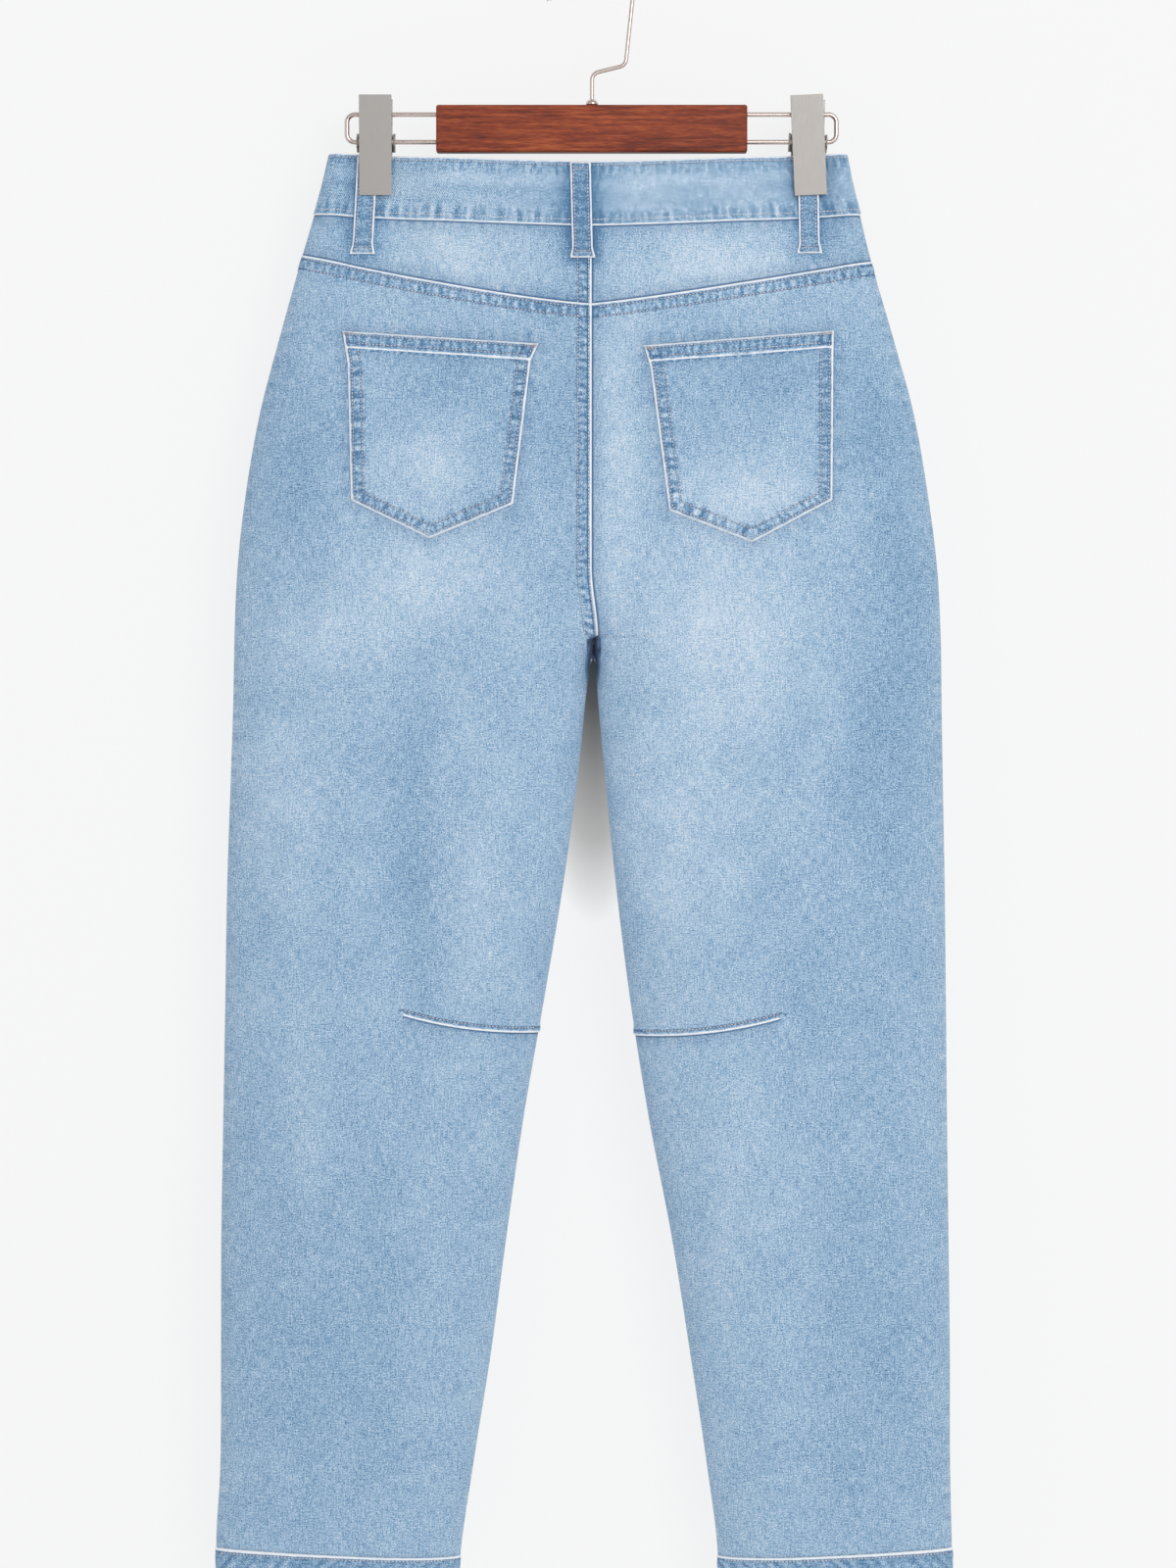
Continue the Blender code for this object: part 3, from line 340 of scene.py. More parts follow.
def surface(face, side, x, z):
    """Points on a face of the garment and its outward normals, as arrays of (x, y, z)."""
    x, z = np.broadcast_arrays(np.asarray(x, float), np.asarray(z, float))
    step = 0.05
    depth = half_depth(face, side, x, z)
    inward = np.where(side * x > 0.5 * abs(edge_out(side, CROTCH)), -side, side) * step
    slope_x = (half_depth(face, side, x + inward, z) - depth) / inward
    slope_z = (half_depth(face, side, x, z + step) - depth) / step
    length = np.sqrt(slope_x ** 2 + slope_z ** 2 + 1.0)
    points = np.stack([x, face * (SEAM_GAP + depth), z], axis=-1)
    normals = np.stack([-slope_x, face * np.ones_like(x), -slope_z], axis=-1) / length[..., None]
    return points, normals


print("folds and creases:", len(FOLDS[BACK]) + len(FOLDS[FRONT]))

# %% [markdown]
# ## Seams as lines
# On jeans everything happens beside a seam: the folded edge wears white, the cloth next to it
# keeps its dye and gets painted shade, rows of stitches run along it, and the cloth between the
# rows puckers. So each seam is one line of (x, z) points, and every shell asks how far each of its
# points lies from it.

# %% Seam lines and how far cloth lies from them
DART_INNER_X, DART_LENGTH, DART_TIP_RISE = 35.0, 98.0, 13.0
DART_Z = {LEFT: -756.4, RIGHT: -758.6}
DART_BEND_REACH = 80.0
HEM_BEND_REACH = 70.0
FLY_FOOT, FLY_WIDTH = -345.0, 34.0
SCOOP_WIDTH, SCOOP_DROP = 84.0, 76.0
POCKETS = {
    LEFT: {
        "top_outer": (-174.8, -264.4), "top_inner": (-37.0, -273.3),
        "flare_outer": (-171.0, -288.1), "flare_inner": (-42.7, -285.3),
        "foot_outer": (-168.5, -383.8), "foot_inner": (-55.0, -386.3), "point": (-113.6, -410.5),
    },
    RIGHT: {
        "top_outer": (169.7, -264.1), "top_inner": (36.4, -274.6),
        "flare_outer": (169.3, -287.0), "flare_inner": (40.9, -289.8),
        "foot_outer": (168.4, -383.5), "foot_inner": (54.2, -390.9), "point": (112.3, -413.2),
    },
}
FAR = 60.0


def dart_rise(side, x):
    along = np.clip((side * x - DART_INNER_X) / DART_LENGTH, 0.0, 1.0)
    return DART_TIP_RISE * along ** 2.2


def scoop_point(side, ring, angle):
    """(x, z) in the front pocket's corner: ring 1 is its mouth, ring 0 the side seam's top."""
    z = -220.0
    for _ in range(12):
        x = float(edge_out(side, z)) - side * SCOOP_WIDTH * ring * math.cos(angle)
        z = float(waist_seam(x)) - SCOOP_DROP * ring * math.sin(angle)
    return x, z


def line_of(x, z):
    return np.stack(np.broadcast_arrays(np.asarray(x, float), np.asarray(z, float)), axis=-1)


def seam_lines(side):
    """The seams of one side of the jeans by name, each a line of (x, z) points."""
    span = np.linspace(0.0, side * 225.0, 46)
    rise = np.linspace(-186.0, CROTCH, 50)
    leg = np.linspace(CROTCH, HEM_TOP, 60)
    dart = np.linspace(DART_INNER_X - 8, DART_INNER_X + DART_LENGTH, 24) * side
    pocket = POCKETS[side]
    ring = ("top_outer", "top_inner", "flare_inner", "foot_inner", "point", "foot_outer",
            "flare_outer", "top_outer")
    bow = [scoop_point(side, 1.0, a) for a in np.linspace(0.0, math.pi / 2, 20)]
    return {
        "yoke": line_of(span, yoke_seam(side, span)),
        "waist": line_of(span, waist_seam(span)),
        "centre": line_of(centre_seam(rise), rise),
        "inseam": line_of(edge_in(side, leg), leg),
        "outseam": line_of(edge_out(side, np.linspace(-186, HEM_TOP, 90)),
                           np.linspace(-186, HEM_TOP, 90)),
        "dart": line_of(dart, DART_Z[side] + dart_rise(side, dart)),
        "pocket": np.array([pocket[name] for name in ring]),
        "scoop": np.array(bow),
    }


SEAMS = {side: seam_lines(side) for side in (LEFT, RIGHT)}


def from_line(x, z, line):
    """Distance of each point from a line, and how far along the line the nearest spot is."""
    spots = np.stack([np.ravel(x), np.ravel(z)], axis=1)
    best = np.full(len(spots), 1e9)
    run = np.zeros(len(spots))
    passed = 0.0
    for start, end in zip(line[:-1], line[1:]):
        step = end - start
        length = float(np.hypot(*step))
        t = np.clip((spots - start) @ step / length ** 2, 0.0, 1.0)
        away = np.hypot(*(spots - start - t[:, None] * step).T)
        run = np.where(away < best, passed + t * length, run)
        best = np.minimum(best, away)
        passed += length
    return best.reshape(np.shape(x)), run.reshape(np.shape(x))


def ripple(run, pitch, seed):
    """An uneven wave along a seam: its crests wander and its height comes and goes."""
    wander = 1.9 * np.sin(run / 31.0 + seed) + 1.1 * np.sin(run / 13.0 + 2.7 * seed)
    strength = 0.62 + 0.38 * np.sin(run / 43.0 + 1.6 * seed)
    long_wave = np.sin(math.tau * run / pitch + wander)
    short_wave = np.sin(math.tau * run / (0.53 * pitch) - 1.4 * wander + seed)
    return (0.6 * long_wave + 0.6 * short_wave) * strength


def band(distance, start, full, fade, end):
    """0 up to start, 1 from full to fade, and 0 again from end."""
    up = smoothstep((distance - start) / (full - start))
    return up * (1.0 - smoothstep((distance - fade) / (end - fade)))


print("seam lines a side:", ", ".join(SEAMS[LEFT]))

# %% [markdown]
# ## Washed denim
# Denim is a twill with indigo warp and white weft, so from a step away it is a pale blue speckle
# with short vertical slubs and a faint diagonal. Washing fades it in clouds, bleaches every
# folded edge to white, and leaves the dye in the creases beside it, which also carry painted
# shade. Those places come from the shells as attributes in millimetres, so the shader can draw
# lines finer than the mesh.

# %% Denim
DENIM_TONES = (
    (0.0, "#4f7699"), (0.28, "#7a9dbc"), (0.5, "#9ab7d0"), (0.72, "#b5cadc"), (1.0, "#d6e0e9"),
)
WORN_EDGE = "#f0f3f6"
SEAM_DYE_AND_SHADE = "#3a6089"
DEEP_PAINTED_SHADE = "#1f3550"
PUCKER_MM = 5.6
SPECKLE_MM, SLUB_MM, SLUB_LENGTH_MM, TWILL_MM, CLOUD_MM = 0.95, 1.15, 8.0, 1.9, 30.0
SPECKLE, SLUBS = 1.7, 0.72
# What every shell tells the shader, with the value where nothing is near: the distances from a
# folded edge, a crease and a row of stitches, the pucker, the wash with its painted shade, and the way
# along the seam
NOTES = {"edge": FAR, "crease": FAR, "row": FAR, "pucker": 0.0, "fade": 0.0, "along": 0.0}


def cloth_noise(tree, vector, wide, tall, detail=2.0, roughness=0.55):
    """Noise on the cloth's own measure, its grains wide x tall millimetres, from -0.5 to 0.5."""
    grains = noise(tree, vector, (1.0 / wide, 1.0 / tall, 1.0), detail, roughness)
    return maths(tree, "SUBTRACT", grains, 0.5)


def denim(name, tones=DENIM_TONES, twill=0.09, base=0.0, uneven=1.0):
    finish, tree, shader = new_material(
        name, Roughness=0.92, Specular_IOR_Level=0.25, Sheen_Weight=0.12, Sheen_Roughness=0.6,
    )
    weave = node(tree, "ShaderNodeAttribute", attribute_name="weave").outputs["Vector"]
    edge, crease, row, pucker, fade, along = (
        node(tree, "ShaderNodeAttribute", attribute_name=key).outputs["Fac"] for key in NOTES
    )
    fine = cloth_noise(tree, weave, SPECKLE_MM, SPECKLE_MM, 1.0)
    slub = cloth_noise(tree, weave, SLUB_MM, SLUB_LENGTH_MM)
    weft = cloth_noise(tree, weave, SLUB_LENGTH_MM * 0.7, SLUB_MM * 0.8)
    cloud = cloth_noise(tree, weave, CLOUD_MM, CLOUD_MM * 1.5, 4.0, 0.62)
    mottle = cloth_noise(tree, weave, 5.5, 7.5, 3.0, 0.65)
    slant = node(tree, "ShaderNodeMapping", {"Vector": weave},
                 {"Scale": (1.0 / TWILL_MM,) * 3, "Rotation": (0.0, 0.0, math.radians(38))})
    lines = node(tree, "ShaderNodeTexWave", {"Vector": slant.outputs["Vector"]},
                 {"Scale": 0.49975, "Distortion": 1.2, "Detail": 1.0})
    lines = maths(tree, "SUBTRACT", lines.outputs["Fac"], 0.5)

    # The cloth's tone, with puckers as uneven bars between the fold and the second row
    fade = maths(tree, "MULTIPLY", fade, summed(tree, 1.0, (cloud, 1.1)))
    between = maths(tree, "MULTIPLY", ramp_down(tree, edge, 8.5, 12.5),
                    maths(tree, "SUBTRACT", 1.0, ramp_down(tree, edge, 1.2, 3.0)))
    turn = summed(tree, 0.0, (along, math.tau / PUCKER_MM),
                  (cloth_noise(tree, weave, 12.0, 12.0, 1.0), 9.0))
    bars = summed(tree, -0.1, (cloth_noise(tree, weave, 2.6, 2.6), 1.2 * uneven),
                  (maths(tree, "SINE", turn), 0.15 * uneven))
    tone = summed(tree, 0.49 + base, (fade, 0.22), (pucker, 0.28), (cloud, 0.36), (mottle, 0.26),
                  (fine, SPECKLE), (slub, SLUBS), (weft, SLUBS), (lines, twill), (bars, between))
    tone = maths(tree, "MULTIPLY_ADD", ramp_down(tree, edge, 1.6, 13.0), -0.1, tone, clamp=True)
    result = tint(tree, shader, tone, tones)
    ragged = summed(tree, edge, (mottle, -1.5))
    # Beside lapped edges and along the rows of stitches the cloth darkens, partly unfaded dye and partly
    # painted shade; the deepest tone is painted shade between the legs.
    for amount, shade in (
        (ramp_down(tree, crease, 1.0, 12.0, 0.2), SEAM_DYE_AND_SHADE),
        (ramp_down(tree, row, 0.35, 1.1, 0.8), SEAM_DYE_AND_SHADE),
        (ramp_down(tree, crease, 0.4, 2.2, 0.85), SEAM_DYE_AND_SHADE),
        (ramp_down(tree, ragged, 0.85, 1.75, 0.95), WORN_EDGE),
        (ramp_down(tree, crease, -1.0, 0.2, 0.92), DEEP_PAINTED_SHADE),
    ):
        mix = node(tree, "ShaderNodeMix", {0: amount, 6: result}, {7: linear(shade)}, data_type="RGBA")
        result = mix.outputs[2]
    tree.links.new(result, shader.inputs["Base Color"])
    bump(tree, shader, summed(tree, 0.0, (slub, 0.5), (fine, 0.6), (lines, 0.25)), 0.35, 0.4)
    return finish

REVERSE_TONES = (
    (0.0, "#8fa3b8"), (0.3, "#aebccb"), (0.5, "#c2ccd7"), (0.72, "#d2dae2"), (1.0, "#e2e7ec"),
)
DENIM = denim("washed denim")
BAND_DENIM = denim("washed denim, doubled", twill=0.36, base=0.05, uneven=0.6)
LOOP_DENIM = denim("washed denim, folded strip", base=0.05, uneven=0.45)
HEM_DENIM = denim("washed denim, turned up", twill=0.12, base=0.02, uneven=0.6)
REVERSE = denim("denim reverse, white weft", REVERSE_TONES)
print("denim materials:", DENIM.name, "/", BAND_DENIM.name, "/", REVERSE.name)

# %% [markdown]
# ## Where the wash faded it, and painted fold shade
# The wash is uneven on purpose: thighs and seat are paler, side seams, pocket mouths and calves
# keep more dye. A table of soft spots holds that, with positive amounts paler and negative ones
# darker. Some back spots are painted shade in the troughs of the largest folds and below the
# clips, and one is a painted highlight on a fold ridge. The front gets spots of its own, of the same kind.

# %% Wash table, with painted fold shade
# Each row: x, z, half width, half height, lean in degrees, amount
WASH_AND_PAINTED_SHADE = {
    BACK: (
        # Painted shade: the dark spots beside the clips, and at (-123, -637), (190, -327), (216, -480) and
        # (187, -565) in fold troughs; the pale spot at (-80, -655) is a painted highlight on a fold ridge.
        (-89, -210, 56, 22, -6, 0.95), (80, -211, 52, 22, 6, 0.95), (-5, -180, 24, 34, 0, -0.9),
        (-165, -185, 22, 40, 0, -0.6), (163, -175, 22, 42, 0, -0.6), (-27, -244, 22, 13, 0, -0.6),
        (-106, -296, 60, 26, 0, -0.45), (108, -296, 58, 26, 0, -0.5), (-113, -362, 36, 26, 0, 0.8),
        (111, -376, 44, 22, 0, 0.7), (18, -361, 15, 110, 0, 0.75), (-20, -327, 16, 70, 0, -0.5),
        (-113, -437, 50, 28, 0, 1.05), (-175, -480, 48, 26, 10, 0.6), (97, -470, 55, 72, 0, 0.9),
        (-123, -637, 19, 100, 3, -0.6), (-80, -655, 30, 80, -3, 0.4), (-196, -830, 16, 76, 0, 0.4),
        (-190, -965, 75, 170, 0, -0.42), (200, -985, 52, 150, 0, -0.4),
        (190, -327, 20, 45, 0, -0.5), (216, -480, 26, 190, 0, -0.65), (150, -730, 60, 70, 0, -0.3),
        (118, -222, 50, 16, 4, 0.5), (-80, -158, 60, 9, 0, 0.5), (70, -158, 60, 9, 0, 0.5),
        (-213, -575, 26, 60, 0, 0.5), (187, -565, 17, 62, 0, -0.4), (104, -850, 26, 110, 0, 0.35),
        (66, -610, 44, 115, 0, 0.55), (133, -748, 9, 9, 0, 0.5), (-134, -742, 9, 9, 0, 0.35),
        (-210, -354, 36, 70, 0, -0.5), (-60, -350, 22, 60, 0, -0.2),
    ),
    FRONT: (
        (-120, -450, 62, 130, 4, 0.95), (118, -450, 60, 130, -4, 0.95),
        (-150, -760, 55, 120, 0, 0.6), (146, -765, 54, 120, 0, 0.6), (-25, -290, 24, 90, 0, -0.4),
        (-218, -420, 26, 150, 0, -0.55), (212, -420, 26, 150, 0, -0.55),
        (-190, -990, 70, 130, 0, -0.4), (190, -990, 60, 130, 0, -0.4), (0, -166, 30, 30, 0, -0.5),
        (-62, -372, 58, 4.5, -20, 0.45), (-70, -398, 64, 5.0, -12, 0.4),
        (-74, -424, 60, 5.0, -4, 0.35), (60, -376, 56, 4.5, 20, 0.45), (72, -402, 62, 5.0, 12, 0.4),
        (72, -428, 60, 5.0, 4, 0.35),
    ),
}

LOOP_WIDTH, LOOP_THICKNESS, LOOP_TOP_DROP = 14.5, 1.6, 1.0
# Each loop: name, face, x at its top and foot, z of its foot, lift on the band and at the foot,
# and how dark the wash left the cloth beside it
LOOPS = (
    ("belt_loop_back_centre", BACK, -8.0, -6.3, -213.0, 0.3, 1.0, 1.9),
    ("belt_loop_back_left", BACK, -157.6, -161.3, -210.0, 0.95, 0.35, 1.0),
    ("belt_loop_back_right", BACK, 152.0, 153.2, -209.5, 0.95, 0.35, 1.0),
    ("belt_loop_front_left", FRONT, -86.0, -87.0, -208.5, 0.3, 0.35, 1.0),
    ("belt_loop_front_right", FRONT, 86.0, 87.0, -208.5, 0.3, 0.35, 1.0),
)


def wash_and_painted_shade(face, x, z):
    """How much paler (positive) or darker (negative) each point is: the wash, with painted shade in fold
    troughs and a painted highlight on a fold ridge.
    """
    total = np.zeros(np.shape(x))
    # Belt loops kept the bleach off the cloth beside them, so it stays dark there
    for _, loop_face, top_x, foot_x, foot_z, _, _, dark in LOOPS:
        if loop_face == face:
            share = np.clip((z + 148.0) / (foot_z + 148.0), 0.0, 1.0)
            away = np.abs(x - top_x - share * (foot_x - top_x)) - 0.5 * LOOP_WIDTH
            below = smoothstep((z - foot_z + 9.0) / 9.0)
            total -= dark * np.exp(-((np.maximum(away, 0.0) / 6.5) ** 2)) * below
    for spot_x, spot_z, wide, tall, lean, amount in WASH_AND_PAINTED_SHADE[face]:
        right, up = leaned(x - spot_x, z - spot_z, lean)
        total += amount * np.exp(-((right / wide) ** 2 + (up / tall) ** 2))
    return total
print("wash spots:", len(WASH_AND_PAINTED_SHADE[BACK]) + len(WASH_AND_PAINTED_SHADE[FRONT]))

# %% [markdown]
# ## From a grid to cloth
# Every cut piece starts as Blender's plain grid. Its vertices are moved onto the garment, its
# attributes are written beside them, and a Solidify modifier gives it the cloth's thickness,
# with the pale reverse of the denim on the inside.

# %% Shell maker
def woven(across, up):
    """The cloth's own measure: millimetres across its threads and up along them."""
    return np.stack([across, up, 0.0 * up], axis=-1)


def cloth_grid(name, points, normals, notes, weave, slot, *finishes, around=False, ends=False):
    """Cloth in place of a solid: a grid moved to points[row, column], with its notes."""
    rows, columns = points.shape[:2]
    bm = bmesh.new()
    bmesh.ops.create_grid(bm, x_segments=columns - 1, y_segments=rows - 1, size=0.5)
    layers = {key: bm.verts.layers.float.new(key) for key in NOTES}
    place = bm.verts.layers.float_vector.new("weave")
    for vert in bm.verts:
        c = round((vert.co.x + 0.5) * (columns - 1))
        r = round((vert.co.y + 0.5) * (rows - 1))
        vert.co = Vector(points[r, c]) * MM
        vert[place] = Vector(weave[r, c])
        for key, layer in layers.items():
            vert[layer] = float(notes[key][r, c]) if key in notes else NOTES[key]
    if around:
        bmesh.ops.remove_doubles(bm, verts=bm.verts, dist=0.01 * MM)
    if ends:
        bmesh.ops.holes_fill(bm, edges=[e for e in bm.edges if e.is_boundary], sides=0)
    for face in bm.faces:
        face.smooth = True
    piece = mesh_of(name + "_cloth", bm, *finishes)
    r, c = rows // 2, columns // 2
    out = np.cross(points[r, c + 1] - points[r, c], points[r + 1, c] - points[r, c])
    if np.dot(out, normals[r, c]) < 0:
        piece.data.flip_normals()
    print(name, rows * columns, "points")
    return placed(piece, slot, name)


def cloth_shell(name, points, normals, notes, weave, slot, thickness=CLOTH, finish=DENIM):
    """A single layer of cloth with its outer face at points."""
    piece = cloth_grid(name, points, normals, notes, weave, slot, finish, REVERSE)
    wall = piece.modifiers.new("cloth", "SOLIDIFY")
    wall.thickness = thickness * MM
    wall.offset = -1.0
    wall.material_offset = 1
    wall.material_offset_rim = 0

# %% [markdown]
# ## Back and front panels
# A panel is laid out in level rows from its top seam to its hem, and in columns from the side
# seam to the centre or the inseam. Rows crowd where an edge is sewn down, and bend with the knee
# dart so that its fold is crisp. At a lapped seam the cloth is thicker, its edge is rounded, and
# it puckers between the two rows of stitches.

# %% Rows and columns of a panel
LAP_HEIGHT, LAP_END, LAP_EASE = 0.9, 10.2, 3.0
ROW_NEAR, ROW_FAR = 2.8, 9.7
PUCKER_HEIGHT = 0.38
CROWD_MM = (0.0, 0.4, 1.0, 1.8, 2.8, 3.9, 5.2, 6.6, 8.2, 9.7, 11.2, 13.0)
PANEL_STEP = {BACK: 2.7, FRONT: 3.5}


def running(points):
    """How far along a line of points each of them lies."""
    return np.concatenate([[0.0], np.cumsum(np.linalg.norm(np.diff(points, axis=0), axis=1))])


def spaced(curve, count, crowd):
    """count + 1 parameters that divide a curve by its length, closer together where crowd is."""
    fine = np.linspace(0.0, 1.0, 801)
    points = curve(fine)
    lengths = np.linalg.norm(np.diff(points, axis=0), axis=1)
    cost = np.concatenate([[0.0], np.cumsum(lengths * crowd(0.5 * (points[1:] + points[:-1])))])
    return np.interp(np.linspace(0.0, cost[-1], count + 1), cost, fine)


def level_row(face, side, curve, count, outer_end=None):
    """X and z along one level of a panel, from its outer edge to its inner edge."""
    inner_x, outer_x = 0.0, side * WAIST_HALF
    for _ in range(6):
        inner_x = float(edge_in(side, curve(inner_x)))
        outer_x = float(edge_out(side, curve(outer_x)))
    outer_x = outer_x if outer_end is None else outer_end

    def place(t):
        return outer_x + (inner_x - outer_x) * 0.5 * (1.0 - np.cos(math.pi * t))

    def sampled(t):
        x = place(t)
        return np.stack([x, face * half_depth(face, side, x, curve(x)), curve(x)], axis=-1)

    def crowd(points):
        return 1.0 + 2.2 * np.exp(-((points[:, 0] - inner_x) / 9.0) ** 2)

    x = place(spaced(sampled, count, crowd))
    return x, curve(x) + 0.0 * x


def rows_between(top, bottom, step):
    return list(np.linspace(top, bottom, int((top - bottom) / step) + 1))


def hem_bend(side, x):
    """The turned-up hem hangs lower at the inseam than at the side seam."""
    outer, inner = float(edge_out(side, HEM_TOP)), float(edge_in(side, HEM_TOP))
    share = np.clip((x - outer) / (inner - outer), 0.0, 1.0)
    return 1.2 - 5.8 * smoothstep(share) ** 0.8


def leg_level(side, z, dart=True):
    """A level of the leg, bent to the knee dart near it and to the hem near the foot."""
    weight = 1.0 - float(smoothstep(abs(z - DART_Z[side]) / DART_BEND_REACH)) if dart else 0.0
    foot = float(smoothstep((HEM_TOP + HEM_BEND_REACH - z) / HEM_BEND_REACH))
    return lambda x: z + weight * dart_rise(side, x) + foot * hem_bend(side, x)


def level_between(top, height, reach):
    return lambda x: CROTCH + height / reach * (top(x) - CROTCH)


def panel_points(face, side, levels, count, outer_ends=()):
    """X, z, points and normals of a panel; its first rows may end before the side seam."""
    ends = list(outer_ends) + [None] * (len(levels) - len(outer_ends))
    rows = [level_row(face, side, curve, count, end) for curve, end in zip(levels, ends)]
    x, z = (np.array([row[k] for row in rows]) for k in (0, 1))
    points, normals = surface(face, side, x, z)
    above = z[:, -1] > CROTCH + 0.01
    normals[above, -1, 0] = 0.0
    normals[~above, -1] = (-side, 0.0, 0.0)
    normals[np.abs(z[:, -1] - CROTCH) < 0.01, -1] = (0.0, 0.0, -1.0)
    normals[len(outer_ends):, 0] = (side, 0.0, 0.0)
    normals /= np.linalg.norm(normals, axis=-1)[..., None]
    return x, z, points, normals
def grooves(distance, rows, depth, width):
    """The cloth sinks under its rows of stitches."""
    return depth * sum(np.exp(-((distance - row) / width) ** 2) for row in rows)


def lap(distance):
    """Height of a sewn-down edge: rounded at the fold, grooved by its two rows of stitches."""
    height = LAP_HEIGHT * (1.0 - smoothstep((distance - LAP_END) / LAP_EASE))
    height = height - 0.45 * np.exp(-distance / 0.6)
    return height - grooves(distance, (ROW_NEAR, ROW_FAR), 0.3, 0.9)


def lapped(x, z, line, pitch, seed, reach=1.0):
    """What a folded, twice stitched edge does to the cloth beside it."""
    distance, run = from_line(x, z, line)
    wave = ripple(run + 0.45 * distance, pitch, seed) * band(distance, 0.8, 3.0, 8.0, 15.0) * reach
    return {
        "height": lap(distance) + PUCKER_HEIGHT * wave, "edge": distance, "pucker": wave, "along": run,
        "row": np.minimum(np.abs(distance - ROW_NEAR), np.abs(distance - ROW_FAR)),
    }


def nearest(notes, key, distance, where=True):
    """Where it applies, keep the smaller distance in the notes."""
    notes[key] = np.where(where, np.minimum(notes[key], distance), notes[key])


def lap_over(notes, other, where):
    """Add a second lapped edge, where it applies; the nearer one counts."""
    notes["height"] = np.where(where, np.maximum(notes["height"], other["height"]), notes["height"])
    notes["along"] = np.where(where & (other["edge"] < notes["edge"]), other["along"], notes["along"])
    notes["pucker"] = notes["pucker"] + other["pucker"]
    nearest(notes, "edge", other["edge"], where)
    nearest(notes, "row", other["row"], where)


def sewn_piece(kind, face, side, x, z, points, normals, notes):
    """The shell of a panel or yoke, raised by its laps except where it meets the other face."""
    notes["fade"] = wash_and_painted_shade(face, x, z)
    points = points + normals * notes["height"][..., None]
    # Across is measured from the leg's middle thread
    steps = np.linalg.norm(np.diff(points[..., :2], axis=1), axis=-1)
    across = np.concatenate([np.zeros((len(steps), 1)), np.cumsum(steps, axis=1)], axis=1)
    middle = np.array([
        np.interp(0.0, side * 130.0 - x_row if side > 0 else x_row + 130.0, a_row)
        for x_row, a_row in zip(points[..., 0], across)
    ])
    weave = woven(-side * (across - middle[:, None]), z)
    cloth_shell(f"{kind}_{SIDE_NAMES[side]}", points, normals, notes, weave, "denim")


print("lapped seam: rows of stitches", ROW_NEAR, "and", ROW_FAR, "mm from the fold")
# %% Back panels
BACK_COLUMNS = 96
DART_CROWD_MM = (7.0, 5.2, 3.9, 2.8, 1.8, 1.0, 0.4, 0.0, -0.3, -1.0, -2.0, -3.4, -5.2, -7.2)
DART_ROW = 3.6


